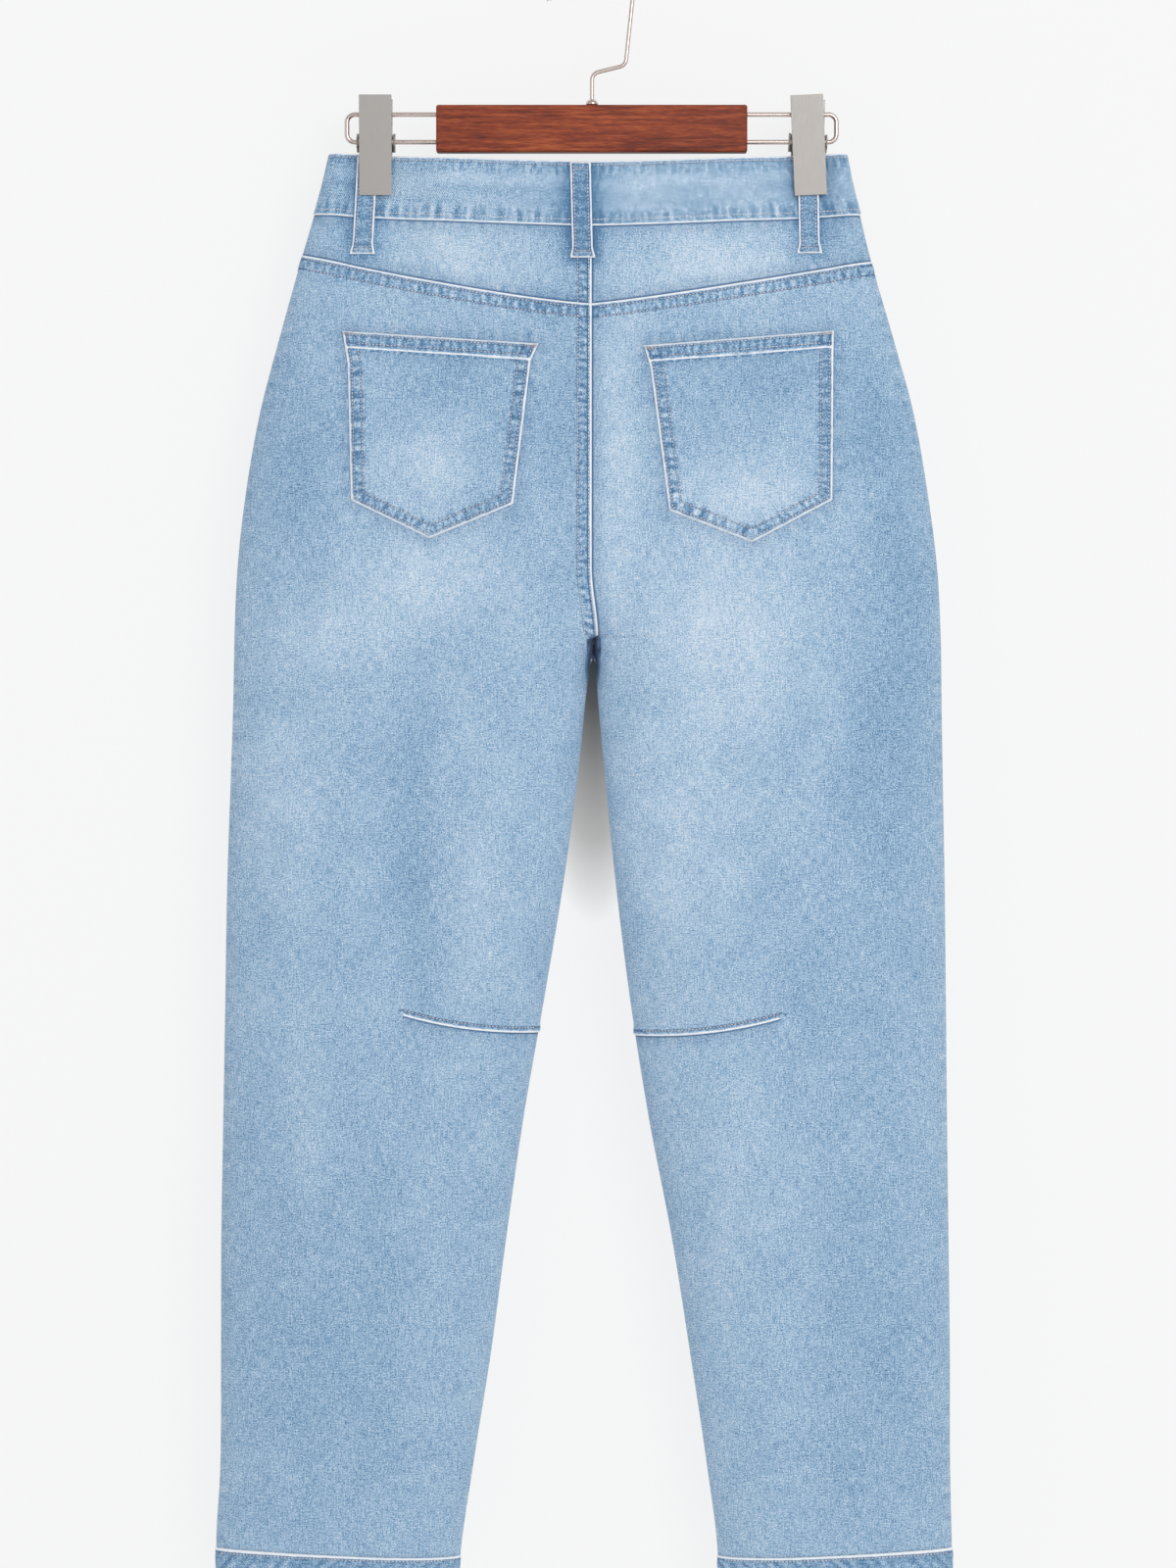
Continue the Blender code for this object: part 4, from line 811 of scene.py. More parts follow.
def back_panel(side):
    lines = SEAMS[side]
    lap_foot, dart = CROWD_MM[-1], DART_Z[side]
    lower = YOKE_CENTRE - CROTCH - lap_foot
    levels = [lambda x, d=d: yoke_seam(side, x) - d for d in CROWD_MM]
    levels += [
        level_between(lambda x: yoke_seam(side, x) - lap_foot, h, lower)
        for h in rows_between(lower, 0.0, PANEL_STEP[BACK])[1:]
    ]
    heights = rows_between(CROTCH, dart + 9.0, PANEL_STEP[BACK])[1:]
    heights += [dart + d for d in DART_CROWD_MM]
    heights += rows_between(dart - 9.4, HEM_TOP + 0.1, PANEL_STEP[BACK])
    levels += [leg_level(side, z) for z in heights]
    x, z, points, normals = panel_points(BACK, side, levels, BACK_COLUMNS)

    notes = lapped(x, z, lines["yoke"], 11.0, 1.0 + side)
    notes["crease"] = np.full(x.shape, FAR)
    above = z > CROTCH + 2.0
    if side == LEFT:
        middle = lapped(x, z, lines["centre"], 10.5, 4.0)
        middle["pucker"] = middle["pucker"] * above
        lap_over(notes, middle, above)
    else:
        # Beside the left panel's lapped edge the right panel darkens, partly unfaded dye and partly
        # painted shade
        nearest(notes, "crease", from_line(x, z, lines["centre"])[0], above)

    # Knee dart: the cloth above is folded over the cloth below
    strength = np.clip(1.0 - (side * x - DART_INNER_X) / DART_LENGTH, 0.0, 1.0) ** 0.5
    from_dart, run = from_line(x, z, lines["dart"])
    over = (z > dart + dart_rise(side, x) - 0.05) & (from_dart < 30.0)
    fold = np.where(over, 1.3 * (1.0 - smoothstep(from_dart / 9.0)) - 0.3 * np.exp(-from_dart / 0.6),
                    -0.5 * np.exp(-((from_dart / 5.0) ** 2)))
    notes["height"] = notes["height"] + fold * strength
    notes["along"] = np.where(over & (from_dart < notes["edge"]), run, notes["along"])
    dart_edge = from_dart + 4.0 * np.maximum(from_dart - 3.0, 0.0) + 2.0 * (strength < 0.08)
    nearest(notes, "edge", dart_edge, over & (strength > 0.0))
    nearest(notes, "row", np.abs(from_dart - DART_ROW), over)
    # Below the dart's fold the cloth gets a painted shadow line
    nearest(notes, "crease", from_dart, ~over & (strength > 0.03))
    dart_wave = ripple(run, 13.0, 2.0) * band(from_dart, 0.5, 2.0, 5.0, 11.0) * (strength > 0)

    # The patch pocket on top leaves a dark line around its outline, partly unfaded dye and partly painted
    # shade
    away, run = from_line(x, z, lines["pocket"])
    nearest(notes, "crease", away + 0.9)
    pocket_wave = ripple(run, 15.0, 3.0) * band(away, 0.5, 2.0, 4.0, 12.0)

    # Where four seams meet at the crotch, painted shade darkens the cloth between the legs and along the
    # inseam
    corner = smoothstep((z + 495.0) / 3.0) * smoothstep((-476.0 - z) / 3.0)
    corner = corner * smoothstep((6.2 - np.abs(x - 1.6)) / 2.0) * (0.86 + 0.14 * np.sin(1.7 * z + 0.4 * x))
    nearest(notes, "crease", 3.2 - 4.0 * corner, corner > 0.05)
    shaded = smoothstep((z + 516.0) / 18.0) * (z < CROTCH)
    nearest(notes, "crease", side * (x - edge_in(side, z)) + 1.2 - 3.4 * shaded, shaded > 0.0)

    # Side seam: two cloths pressed to one side
    side_seam = from_line(x, z, lines["outseam"])[0]
    side_wave = ripple(z, 14.0, 5.0) * band(side_seam, -1.0, 0.0, 3.0, 9.0)
    notes["pucker"] = notes["pucker"] + 0.45 * dart_wave + 0.5 * pocket_wave + 0.4 * side_wave
    notes["height"][:, 0] = 0.0
    notes["height"][~above[:, -1], -1] = 0.0
    sewn_piece("back_panel", BACK, side, x, z, points, normals, notes)


for side in (LEFT, RIGHT):
    back_panel(side)

# %% [markdown]
# The front panels use the same rows and columns, but their top corners are cut away in a bow for
# the pockets. On the real front the wearer's left side laps over the right with a fly, sewn down
# by a J of two rows. Nothing of the front shows in the picture, so it follows the usual cut.

# %% Front panels
FRONT_COLUMNS = 72
SCOOP_ROWS = 26
SCOOP_INNER_DROP, FRONT_RISE = 92.0, 188.0
FLY_TURN = 26.0
FLY_ROWS = (0.0, 6.9)


def fly_line(distance):
    """The J of the fly, seen as a line of (x, z) at a distance from its outer curve."""
    width = FLY_WIDTH - distance
    down = np.linspace(-186.0, FLY_FOOT + FLY_TURN, 20)
    turn = np.linspace(0.0, math.pi / 2, 14)
    foot = FLY_FOOT + FLY_TURN
    x = np.concatenate([np.full(20, -width), -width * np.cos(turn)])
    z = np.concatenate([down, foot - (FLY_TURN - distance) * np.sin(turn)])
    return line_of(x, z)


def scoop_level(side, angle, share):
    end_x, end_z = scoop_point(side, 1.0, angle)
    inner_z = WAIST_SEAM_CENTRE - SCOOP_INNER_DROP * share

    def curve(x):
        if share == 0.0:
            return waist_seam(x) - SEAM_GAP
        t = np.clip(1.0 - np.asarray(x, float) / end_x, 0.0, 1.0)
        return end_z + (inner_z - end_z) * t
    return curve, end_x


def front_panel(side):
    lines = SEAMS[side]
    shares = np.linspace(0.0, 1.0, SCOOP_ROWS)
    scoops = [scoop_level(side, share * math.pi / 2, share) for share in shares]
    levels = [curve for curve, _ in scoops]
    lowest = levels[-1]
    levels += [
        level_between(lowest, h, FRONT_RISE)
        for h in rows_between(FRONT_RISE, 0.0, PANEL_STEP[FRONT])[1:]
    ]
    heights = rows_between(CROTCH, HEM_TOP + 0.1, PANEL_STEP[FRONT])[1:]
    levels += [leg_level(side, z, dart=False) for z in heights]
    ends = [end_x for _, end_x in scoops[:-1]]
    x, z, points, normals = panel_points(FRONT, side, levels, FRONT_COLUMNS, ends)

    # Where four seams meet, the front hangs a little lower and shows between the legs
    sag = smoothstep((z + 497.0) / 5.0) * (z < CROTCH) * np.exp(-side * (x - edge_in(side, z)) / 4.0)
    gap_middle = 0.5 * (edge_in(LEFT, z) + edge_in(RIGHT, z))
    points[..., 0] += 1.05 * sag * (gap_middle - edge_in(side, z))

    notes = lapped(x, z, lines["scoop"], 12.0, 2.0 + side, 0.7)
    notes["crease"] = np.full(x.shape, FAR)
    above = z > CROTCH + 2.0
    if side == LEFT:
        middle = lapped(x, z, lines["centre"], 10.5, 7.0)
        middle["pucker"] = middle["pucker"] * np.where(above & (z < FLY_FOOT), 1.0, 0.4)
        middle["row"] = np.where(z < FLY_FOOT + 6, middle["row"], FAR)
        lap_over(notes, middle, above)
        for distance in FLY_ROWS:
            nearest(notes, "row", from_line(x, z, fly_line(distance))[0])
    else:
        nearest(notes, "crease", from_line(x, z, lines["centre"])[0], above)
    # Beside the centre lap and under the waistband the front darkens, partly unfaded dye and partly
    # painted shade
    nearest(notes, "crease", from_line(x, z, lines["waist"])[0] + 0.4)
    # Painted shade darkens the front where it shows between the legs
    nearest(notes, "crease", 3.0 - 4.0 * sag, sag > 0.05)
    side_seam = from_line(x, z, lines["outseam"])[0]
    side_wave = ripple(z, 14.0, 6.0) * band(side_seam, -1.0, 0.0, 3.0, 9.0)
    notes["pucker"] = notes["pucker"] + 0.4 * side_wave
    notes["height"][SCOOP_ROWS - 1:, 0] = 0.0
    notes["height"][~above[:, -1], -1] = 0.0
    sewn_piece("front_panel", FRONT, side, x, z, points, normals, notes)


for side in (LEFT, RIGHT):
    front_panel(side)
# %% Pocket facings behind the scoops
FACING_RINGS, FACING_RAYS = 22, 30
FACING_RECESS = 1.55


def pocket_facing(side):
    x, z = (np.zeros((FACING_RINGS, FACING_RAYS)) for _ in range(2))
    for r, ring in enumerate(np.linspace(0.0, 1.05, FACING_RINGS)):
        for c, angle in enumerate(np.linspace(0.0, math.pi / 2, FACING_RAYS)):
            x[r, c], z[r, c] = scoop_point(side, ring, angle)
    points, normals = surface(FRONT, side, x, z)
    recess = 0.1 + FACING_RECESS * smoothstep((side * (edge_out(side, z) - x)) / 12.0)
    normals[np.abs(x - edge_out(side, z)) < 0.01] = (side, 0.0, 0.0)
    points = points - normals * recess[..., None]
    mouth, waist = (from_line(x, z, SEAMS[side][name])[0] for name in ("scoop", "waist"))
    # Beside the pocket mouth and under the waistband the facing darkens, partly unfaded dye and partly
    # painted shade
    notes = {"crease": np.minimum(mouth, waist + 0.4), "fade": wash_and_painted_shade(FRONT, x, z) - 0.5}
    cloth_shell(f"front_pocket_facing_{SIDE_NAMES[side]}", points, normals, notes, woven(x, z),
                "denim_pocket", thickness=1.0)


for side in (LEFT, RIGHT):
    pocket_facing(side)

# %% [markdown]
# The yoke lies between the waistband and the panel that laps over its foot. Beside the panel's
# edge it gets a dark line, partly unfaded dye and partly painted shade, and the centre seam runs on
# through it to the band.

# %% Back yokes
YOKE_COLUMNS, YOKE_ROWS = 92, 26


def back_yoke(side):
    def level(share):
        return lambda x: (waist_seam(x) - SEAM_GAP) * (1 - share) + share * (
            yoke_seam(side, x) + SEAM_GAP)

    lines = SEAMS[side]
    shares = 0.5 - 0.5 * np.cos(math.pi * np.linspace(0.0, 1.0, YOKE_ROWS))
    x, z, points, normals = panel_points(BACK, side, [level(s) for s in shares], YOKE_COLUMNS)
    from_foot, run = from_line(x, z, lines["yoke"])
    from_band, band_run = from_line(x, z, lines["waist"])
    pucker = 0.5 * ripple(run, 11.0, 1.0 + side) * band(from_foot, -1.0, 0.0, 2.0, 9.0)
    pucker = pucker + 0.5 * ripple(band_run, 13.0, 3.0) * band(from_band, -1.0, 0.0, 2.0, 9.0)
    crease = np.minimum(from_foot, from_band + 0.2)
    if side == LEFT:
        notes = lapped(x, z, lines["centre"], 10.5, 4.0)
    else:
        notes = {"height": 0.0, "pucker": 0.0}
        crease = np.minimum(crease, from_line(x, z, lines["centre"])[0])
    notes["crease"] = crease
    notes["pucker"] = notes["pucker"] + pucker
    notes["height"] = notes["height"] + 0.15 * notes["pucker"] * (from_foot > 1.0)
    notes["height"][:, 0] = 0.0
    sewn_piece("back_yoke", BACK, side, x, z, points, normals, notes)


for side in (LEFT, RIGHT):
    back_yoke(side)

# %% [markdown]
# ## Patch pockets
# A back pocket is a five-cornered patch, its edges folded under and sewn with two rows, its top
# turned down into a doubled band. The patch stands a cloth's thickness above the seat and its
# folded outline rolls down to it, which is where washing bleaches it most.

# %% Back pockets
POCKET_COLUMNS, POCKET_ROWS = 76, 82
POCKET_LIFT, POCKET_SEAT = 1.85, 0.3
POCKET_BAND, POCKET_ROLL = 11.7, 1.6
POCKET_ROWS_DOWN, POCKET_ROWS_TOP = (2.9, 8.8), (2.5, 8.4)


def back_pocket(side):
    corner = {name: np.array(spot) for name, spot in POCKETS[side].items()}
    t = np.linspace(0.0, 1.0, POCKET_ROWS)[:, None, None]
    s = 0.5 - 0.5 * np.cos(math.pi * np.linspace(0.0, 1.0, POCKET_COLUMNS))[None, :, None]
    edges = []
    for end in ("outer", "inner"):
        line = np.array([corner[f"{spot}_{end}"] for spot in ("top", "flare", "foot")])
        reach = running(line)
        at = t[:, 0, 0] * reach[-1]
        edges.append(np.stack([np.interp(at, reach, line[:, k]) for k in (0, 1)], -1)[:, None])
    left_foot, right_foot, point = corner["foot_outer"], corner["foot_inner"], corner["point"]
    share = float(np.linalg.norm(point - left_foot))
    share = share / (share + float(np.linalg.norm(right_foot - point)))
    foot = np.where(s < share, left_foot + (point - left_foot) * s / share,
                    point + (right_foot - point) * (s - share) / (1 - share))
    flat_foot = left_foot * (1 - s) + right_foot * s
    spots = edges[0] * (1 - s) + edges[1] * s + (foot - flat_foot) * t ** 1.5
    x, z = spots[..., 0], spots[..., 1]
    outline = SEAMS[side]["pocket"]
    around = from_line(x, z, outline)[0]
    from_top, top_run = from_line(x, z, outline[:2])
    from_side, side_run = from_line(x, z, outline[1:])

    wave = ripple(side_run, 15.0, 2.0 + side) * band(from_side, 0.8, 2.5, 8.0, 13.0)
    wave = wave + 0.7 * ripple(top_run, 12.0, 5.0 + side) * band(from_top, 0.8, 2.5, 9.0, 12.0)
    below_band = from_top - POCKET_BAND
    height = POCKET_SEAT + (POCKET_LIFT - POCKET_SEAT) * rounding(around, POCKET_ROLL) + 0.28 * wave
    height = height + 0.45 * (1.0 - smoothstep((below_band + 0.8) / 1.6))
    height = height - grooves(from_top, POCKET_ROWS_TOP, 0.22, 0.8)
    height = height - grooves(from_side, POCKET_ROWS_DOWN, 0.22, 0.8)
    past_band = np.where(below_band > 0.9, 7.0 * below_band - 5.4, np.abs(below_band))
    rows = [np.abs(from_side - row) for row in POCKET_ROWS_DOWN]
    rows += [np.abs(from_top - row) for row in POCKET_ROWS_TOP]
    # Below the top band the pocket darkens, partly unfaded dye and partly painted shade
    notes = {
        "edge": np.minimum(around, past_band + 0.45), "row": np.min(rows, axis=0),
        "crease": np.where(below_band > 0.0, below_band + 1.2, FAR), "pucker": wave,
        "fade": wash_and_painted_shade(BACK, x, z), "along": np.where(from_side < from_top, side_run, top_run),
    }
    points, normals = surface(BACK, side, x, z)
    points = points + normals * height[..., None]
    cloth_shell(f"back_pocket_{SIDE_NAMES[side]}", points, normals, notes, woven(x + 7.0, z),
                "denim_pocket", thickness=1.15)


for side in (LEFT, RIGHT):
    back_pocket(side)

# %% [markdown]
# ## Hems and waistband
# Both are doubled cloth with folded edges, so they aren't shells but closed, rounded sections
# carried along a path: the hem round each leg, the waistband round the waist to its lapped end.

# %% Hems
HEM_AROUND, HEM_THICK, HEM_ROW = 132, 2.8, 3.0


def section(high, proud, thick, roll, steps):
    """A rounded strip's closed outline as (height, outwards), up the outside from its foot."""
    outer, inner = proud - roll, proud - thick + roll

    def corner(z, out, quarter):
        turns = np.linspace(0.0, math.pi / 2, 5) + quarter * math.pi / 2
        turns = turns[:-1] if quarter % 2 else turns[1:]
        return [(z + roll * math.sin(turn), out + roll * math.cos(turn)) for turn in turns]

    spots = [(z, proud) for z in np.linspace(roll, high - roll, steps)]
    spots += corner(high - roll, outer, 0) + corner(high - roll, inner, 1)
    spots += [(z, proud - thick) for z in np.linspace(high - roll, roll, 5)]
    spots += corner(roll, inner, 2) + corner(roll, outer, 3)
    return spots + spots[:1]


def hem(side):
    depth = HEM_TOP - HEM_BOTTOM
    rows = []
    for height, out in section(depth, HEM_PROUD, HEM_THICK, 1.1, 12):
        halves = []
        for face in (BACK, FRONT):
            x, z = level_row(
                face, side, lambda x: HEM_BOTTOM + height + height / depth * hem_bend(side, x),
                HEM_AROUND // 2,
            )
            points, normals = surface(face, side, x, z)
            normals[0], normals[-1] = (side, 0.0, 0.0), (-side, 0.0, 0.0)
            points[[0, -1], 1] = 0.0
            halves.append((points, normals, x, z, 0.0 * x + face))
        ring = [np.concatenate([a, b[-2:0:-1], a[:1]]) for a, b in zip(*halves)]
        rows.append(ring + [0.0 * ring[2] + height, 0.0 * ring[2] + out])
    points, normals, x, z, faces, height, out = (np.array(part) for part in zip(*rows))
    run = running(points[0, :, :2]) + 0.0 * x
    from_top = depth - height
    rope = ripple(run - 0.8 * height, 12.5, 2.0 + side)
    middle = band(height, 1.0, 4.0, depth - 4.0, depth - 1.0)
    relief = 0.24 * rope * middle - grooves(from_top, (HEM_ROW,), 0.22, 0.9)
    out = out + np.where(out > HEM_PROUD - 1.2, relief, 0.0)
    notes = {
        "edge": np.minimum(from_top - 0.5, height + 0.4), "row": np.abs(from_top - HEM_ROW),
        "pucker": 0.7 * rope * middle, "along": 0.6 * (run - 0.8 * height),
        "fade": np.where(faces < 0, wash_and_painted_shade(BACK, x, z), wash_and_painted_shade(FRONT, x, z)) - 0.15,
    }
    cloth_grid(f"hem_{SIDE_NAMES[side]}", points + normals * out[..., None], normals, notes,
               woven(run, z), "denim", HEM_DENIM, around=True)


for side in (LEFT, RIGHT):
    hem(side)

# %% Waistband
WAIST_OVERLAP, WAIST_UNDER_STEP, WAIST_UNDER_EASE = 20.0, 3.4, 12.0
BAND_COLUMNS, BAND_DEPTH, BAND_THICK = 380, 46.0, 2.9
BAND_ROW_TOP, BAND_ROW_FOOT = 2.8, 4.4
# Face, side, x where it starts, and whether it runs outwards
BAND_QUARTERS = (
    (FRONT, RIGHT, -WAIST_OVERLAP, True), (BACK, RIGHT, 0.0, False),
    (BACK, LEFT, 0.0, True), (FRONT, LEFT, WAIST_OVERLAP, False),
)
# Smudges on the band: height, spread, strength, pitch and start of their coming and going
BAND_SMUDGES = ((34.0, 2.6, 0.7, 12.0, 1.0), (15.0, 2.6, 0.8, 14.0, 3.0))


def waistband_path(share):
    """Points, normals, x, z and face along the band, from its under end to its top end."""
    t = 0.5 * (1.0 - np.cos(math.pi * np.linspace(0.0, 1.0, 241)))
    quarters = []
    for index, (face, side, start, outwards) in enumerate(BAND_QUARTERS):
        top_edge = float(edge_out(side, waist_top(WAIST_HALF)))
        edge = top_edge + share * (float(edge_out(side, waist_seam(WAIST_HALF))) - top_edge)
        x = start + (edge - start) * (t if outwards else t[::-1])
        z = waist_top(x) + share * (waist_seam(x) + SEAM_GAP - waist_top(x))
        halves = {half: surface(face, half, x, z) for half in (LEFT, RIGHT)}
        spots, outs = (np.where((x >= 0)[:, None], halves[RIGHT][k], halves[LEFT][k]) for k in (0, 1))
        spots[:, 1] -= face * SEAM_GAP
        outs[np.abs(x - edge) < 1e-6] = (side, 0.0, 0.0)
        outs[:, 2] = 0.0
        outs /= np.linalg.norm(outs, axis=1)[:, None]
        under = 1.0 - smoothstep((x - WAIST_OVERLAP - 1.5) / WAIST_UNDER_EASE) if index == 0 else 0.0 * x
        spots = spots - outs * (WAIST_UNDER_STEP * under)[:, None]
        quarters.append([a[min(index, 1):] for a in (spots, outs, x, z, 0.0 * x + face)])
    return [np.concatenate(part) for part in zip(*quarters)]


def on_waistband(share, chosen):
    """The same at chosen shares of the way round."""
    path = waistband_path(share)
    run = running(path[0][:, :2])
    at = np.interp(chosen, run / run[-1], np.arange(len(run)))
    low = np.clip(at.astype(int), 0, len(run) - 2)
    part = at - low
    mixed = [a[low] + (a[low + 1] - a[low]) * (part if a.ndim == 1 else part[:, None]) for a in path]
    mixed[1] /= np.linalg.norm(mixed[1], axis=1)[:, None]
    return mixed


def waistband():
    length = float(running(waistband_path(0.5)[0][:, :2])[-1])
    chosen = np.linspace(0.0, 1.0, BAND_COLUMNS)
    rows = []
    for height, out in section(BAND_DEPTH, WAIST_PROUD, BAND_THICK, 1.0, 20):
        level = [np.full(BAND_COLUMNS, height), np.full(BAND_COLUMNS, out)]
        rows.append(on_waistband(1.0 - height / BAND_DEPTH, chosen) + level)
    points, normals, x, z, faces, height, out = (np.array(part) for part in zip(*rows))
    run = chosen * length + 0.0 * x
    from_top = BAND_DEPTH - height
    wave = ripple(run, 12.5, 1.5) * band(height, 0.8, 2.0, 8.0, 15.0)
    wave = wave + 0.5 * ripple(run, 14.0, 6.5) * band(from_top, 0.8, 2.0, 5.0, 11.0)
    swell = np.sin(run / 61.0 + 1.3 * np.sin(height / 15.0)) * np.sin(math.pi * height / BAND_DEPTH)
    relief = 0.34 * wave + 0.4 * swell - grooves(from_top, (BAND_ROW_TOP,), 0.22, 0.9)
    relief = relief - grooves(height, (BAND_ROW_FOOT,), 0.22, 0.9)
    out = out + np.where(out > WAIST_PROUD - 1.1, relief, 0.0)
    smudge = 0.5 + 0.5 * np.sin(run / 17.0 + 2.0 * np.sin(run / 47.0))
    smudge = smudge * np.exp(-((height - 24.0) / 4.0) ** 2)
    for middle, spread, strength, pitch, start in BAND_SMUDGES:
        coming = strength * (0.5 + 0.5 * np.sin(run / pitch + start))
        smudge += coming * np.exp(-((height - middle) / spread) ** 2)
    notes = {
        "edge": np.minimum(from_top + 0.3, height + 0.2), "pucker": 1.3 * wave, "along": run,
        "row": np.minimum(np.abs(from_top - BAND_ROW_TOP), np.abs(height - BAND_ROW_FOOT)),
        "fade": np.where(faces < 0, wash_and_painted_shade(BACK, x, z), wash_and_painted_shade(FRONT, x, z)) - 0.85 * smudge,
    }
    cloth_grid("waistband", points + normals * out[..., None], normals, notes, woven(run, height),
               "denim_band", BAND_DENIM, around=True, ends=True)
    print("waistband", round(length), "mm round")


waistband()

# %% [markdown]
# Belt loops are strips with their raw edges folded to the middle, so both sides wear white. Each
# one arches a little over the band, is pressed down at its foot and held there by a bar tack.

# %% Belt loops
LOOP_LENGTH, LOOP_ROW = 66.0, 2.2


def loop_frame(loop, share, across):
    """Where a spot of a belt loop sits on the garment, before its own thickness."""
    _, face, top_x, foot_x, foot_z, clear, seat, _ = loop
    side = RIGHT if top_x > 0 else LEFT
    top_z = float(waist_top(top_x)) - LOOP_TOP_DROP
    z = top_z + share * (foot_z - top_z)
    centre = top_x + share * (foot_x - top_x)
    width = LOOP_WIDTH + 3.0 * smoothstep((share - 0.88) / 0.12)
    x = centre + across * width
    on_band = WAIST_PROUD + clear + 0.5 * np.sin(math.pi * np.minimum(share / 0.72, 1.0))
    drop = smoothstep((waist_seam(centre) - 1.0 - z) / 9.0)
    lift = on_band * (1.0 - drop) + seat * drop
    spots = surface(face, side, x, z)[0]
    middle, normals = surface(face, side, centre, z)
    spots[..., 1] = 0.3 * spots[..., 1] + 0.7 * middle[..., 1]
    return spots, normals, lift, x, z


def belt_loop(loop):
    share = np.linspace(0.0, 1.0, 42)[:, None] + np.zeros((1, 15))
    across = np.sin(math.pi / 2 * np.linspace(-1.0, 1.0, 15))[None, :] * 0.5 + 0.0 * share
    spots, normals, lift, x, z = loop_frame(loop, share, across)
    from_side = (0.5 - np.abs(across)) * LOOP_WIDTH
    run = share * LOOP_LENGTH
    from_end = np.minimum(run, LOOP_LENGTH - run)
    height = lift + LOOP_THICKNESS - 0.7 * (1.0 - rounding(from_side, 1.6))
    height = height - 0.5 * (1.0 - rounding(from_end, 1.4)) - grooves(from_side, (LOOP_ROW,), 0.2, 0.7)
    notes = {
        "edge": np.minimum(from_side + 0.2, from_end + 0.5), "row": np.abs(from_side - LOOP_ROW),
        "pucker": 0.8 * ripple(run, 11.0, loop[2]) * band(from_side, 0.5, 2.0, 4.0, 7.0),
        "fade": wash_and_painted_shade(loop[1], x, z) * 0.5 + 0.1, "along": run,
    }
    cloth_shell(loop[0], spots + normals * height[..., None], normals, notes, woven(x, z),
                "denim_pocket", thickness=LOOP_THICKNESS, finish=LOOP_DENIM)
for loop in LOOPS:
    belt_loop(loop)

# %% [markdown]
# ## Sewing
# The rows of stitches are what makes a seam look sewn, so they are real here: each stitch is a
# short length of thread, thin at both ends, laid along its row and sunk a little into the cloth.
# The thread was pale pink-grey when new and has taken up some blue. The stitches of one area are
# one curve object with a short spline for each, far quicker to make than thousands of meshes.

# %% Thread
THREAD, tree, shader = new_material("sewing thread, washed", Roughness=0.7, Sheen_Weight=0.1)
place = node(tree, "ShaderNodeTexCoord").outputs["Object"]
tint(tree, shader, noise(tree, place, (120.0,) * 3), ((0.35, "#b7b9c4"), (0.65, "#e2dad6")))
bump(tree, shader, noise(tree, place, (2600.0,) * 3), 0.3, 0.1)

STITCH_PITCH, STITCH_LENGTH, STITCH_RADIUS = 2.5, 1.75, 0.36
TACK_PITCH = 0.9
# A stitch's knots: share of its half length, share of its radius
STITCH_SHAPE = ((-1.0, 0.3), (-0.6, 1.0), (0.6, 1.0), (1.0, 0.3))


def rods(name, radius, resolution, finish):
    """Curve data whose splines are round rods with closed ends."""
    data = bpy.data.curves.new(name, "CURVE")
    data.dimensions = "3D"
    data.bevel_depth = radius * MM
    data.bevel_resolution = resolution
    data.use_fill_caps = True
    data.materials.append(finish)
    return data


def rod(data, points):
    spline = data.splines.new("POLY")
    spline.points.add(len(points) - 1)
    for knot, point in zip(spline.points, points):
        knot.co = (*[float(v) * MM for v in point], 1.0)
    spline.use_smooth = True
    return spline


def beside(line, distance):
    """A line of (x, z) moved sideways, to the left of its direction for a positive distance."""
    steps = np.gradient(line, axis=0)
    steps /= np.linalg.norm(steps, axis=1)[:, None]
    return line + distance * np.stack([-steps[:, 1], steps[:, 0]], axis=-1)


def sewing(name, rows, slot):
    """Stitches along rows of (points, pitch): one short rod each, thin at both ends."""
    data = rods(name, STITCH_RADIUS, 1, THREAD)
    for points, pitch in rows:
        run = running(points)
        count = int(run[-1] / pitch)
        at = (np.arange(count) + 0.5) * run[-1] / max(count, 1)
        middles, behind, before = (
            np.stack([np.interp(at + d, run, points[:, k]) for k in range(3)], axis=-1)
            for d in (0.0, -0.3, 0.3)
        )
        ahead = (before - behind) / np.linalg.norm(before - behind, axis=1)[:, None]
        half = STITCH_LENGTH * min(1.0, pitch / STITCH_PITCH) / 2
        for middle, step in zip(middles, ahead):
            knots = rod(data, [middle + step * half * share for share, _ in STITCH_SHAPE]).points
            for knot, (_, width) in zip(knots, STITCH_SHAPE):
                knot.radius = width
    print(name, len(data.splines), "stitches")
    placed(linked(name, data), slot)


def on_surface(face, side, line, height, pitch=STITCH_PITCH):
    """A row of stitches along a line of (x, z), height above a face of the garment."""
    line = np.asarray(line)
    lengths = running(line)
    fine = np.arange(0.0, lengths[-1], 1.5)
    x, z = (np.interp(fine, lengths, line[:, k]) for k in (0, 1))
    points, normals = surface(face, side, x, z)
    return points + normals * height, pitch


def bar_tack(face, side, start, end, height):
    """A short dense bar of stitches that holds a corner or a loop."""
    line = np.linspace(start, end, 8)
    return [on_surface(face, side, beside(line, d), height, TACK_PITCH) for d in (-0.8, 0.0, 0.8)]


def inset(ring, distances):
    """A closed ring of corners moved inwards by one distance for each of its sides."""
    middle = ring[:-1].mean(axis=0)
    moved = []
    for start, end, distance in zip(ring[:-1], ring[1:], distances):
        step = (end - start) / np.linalg.norm(end - start)
        inward = np.array([-step[1], step[0]])
        inward = inward if np.dot(middle - start, inward) > 0 else -inward
        moved.append((start + inward * distance, step))
    corners = []
    for (p, d), (q, e) in zip(moved[-1:] + moved[:-1], moved):
        corners.append(p + d * np.linalg.solve(np.stack([d, -e], axis=1), q - p)[0])
    return np.array(corners + corners[:1])


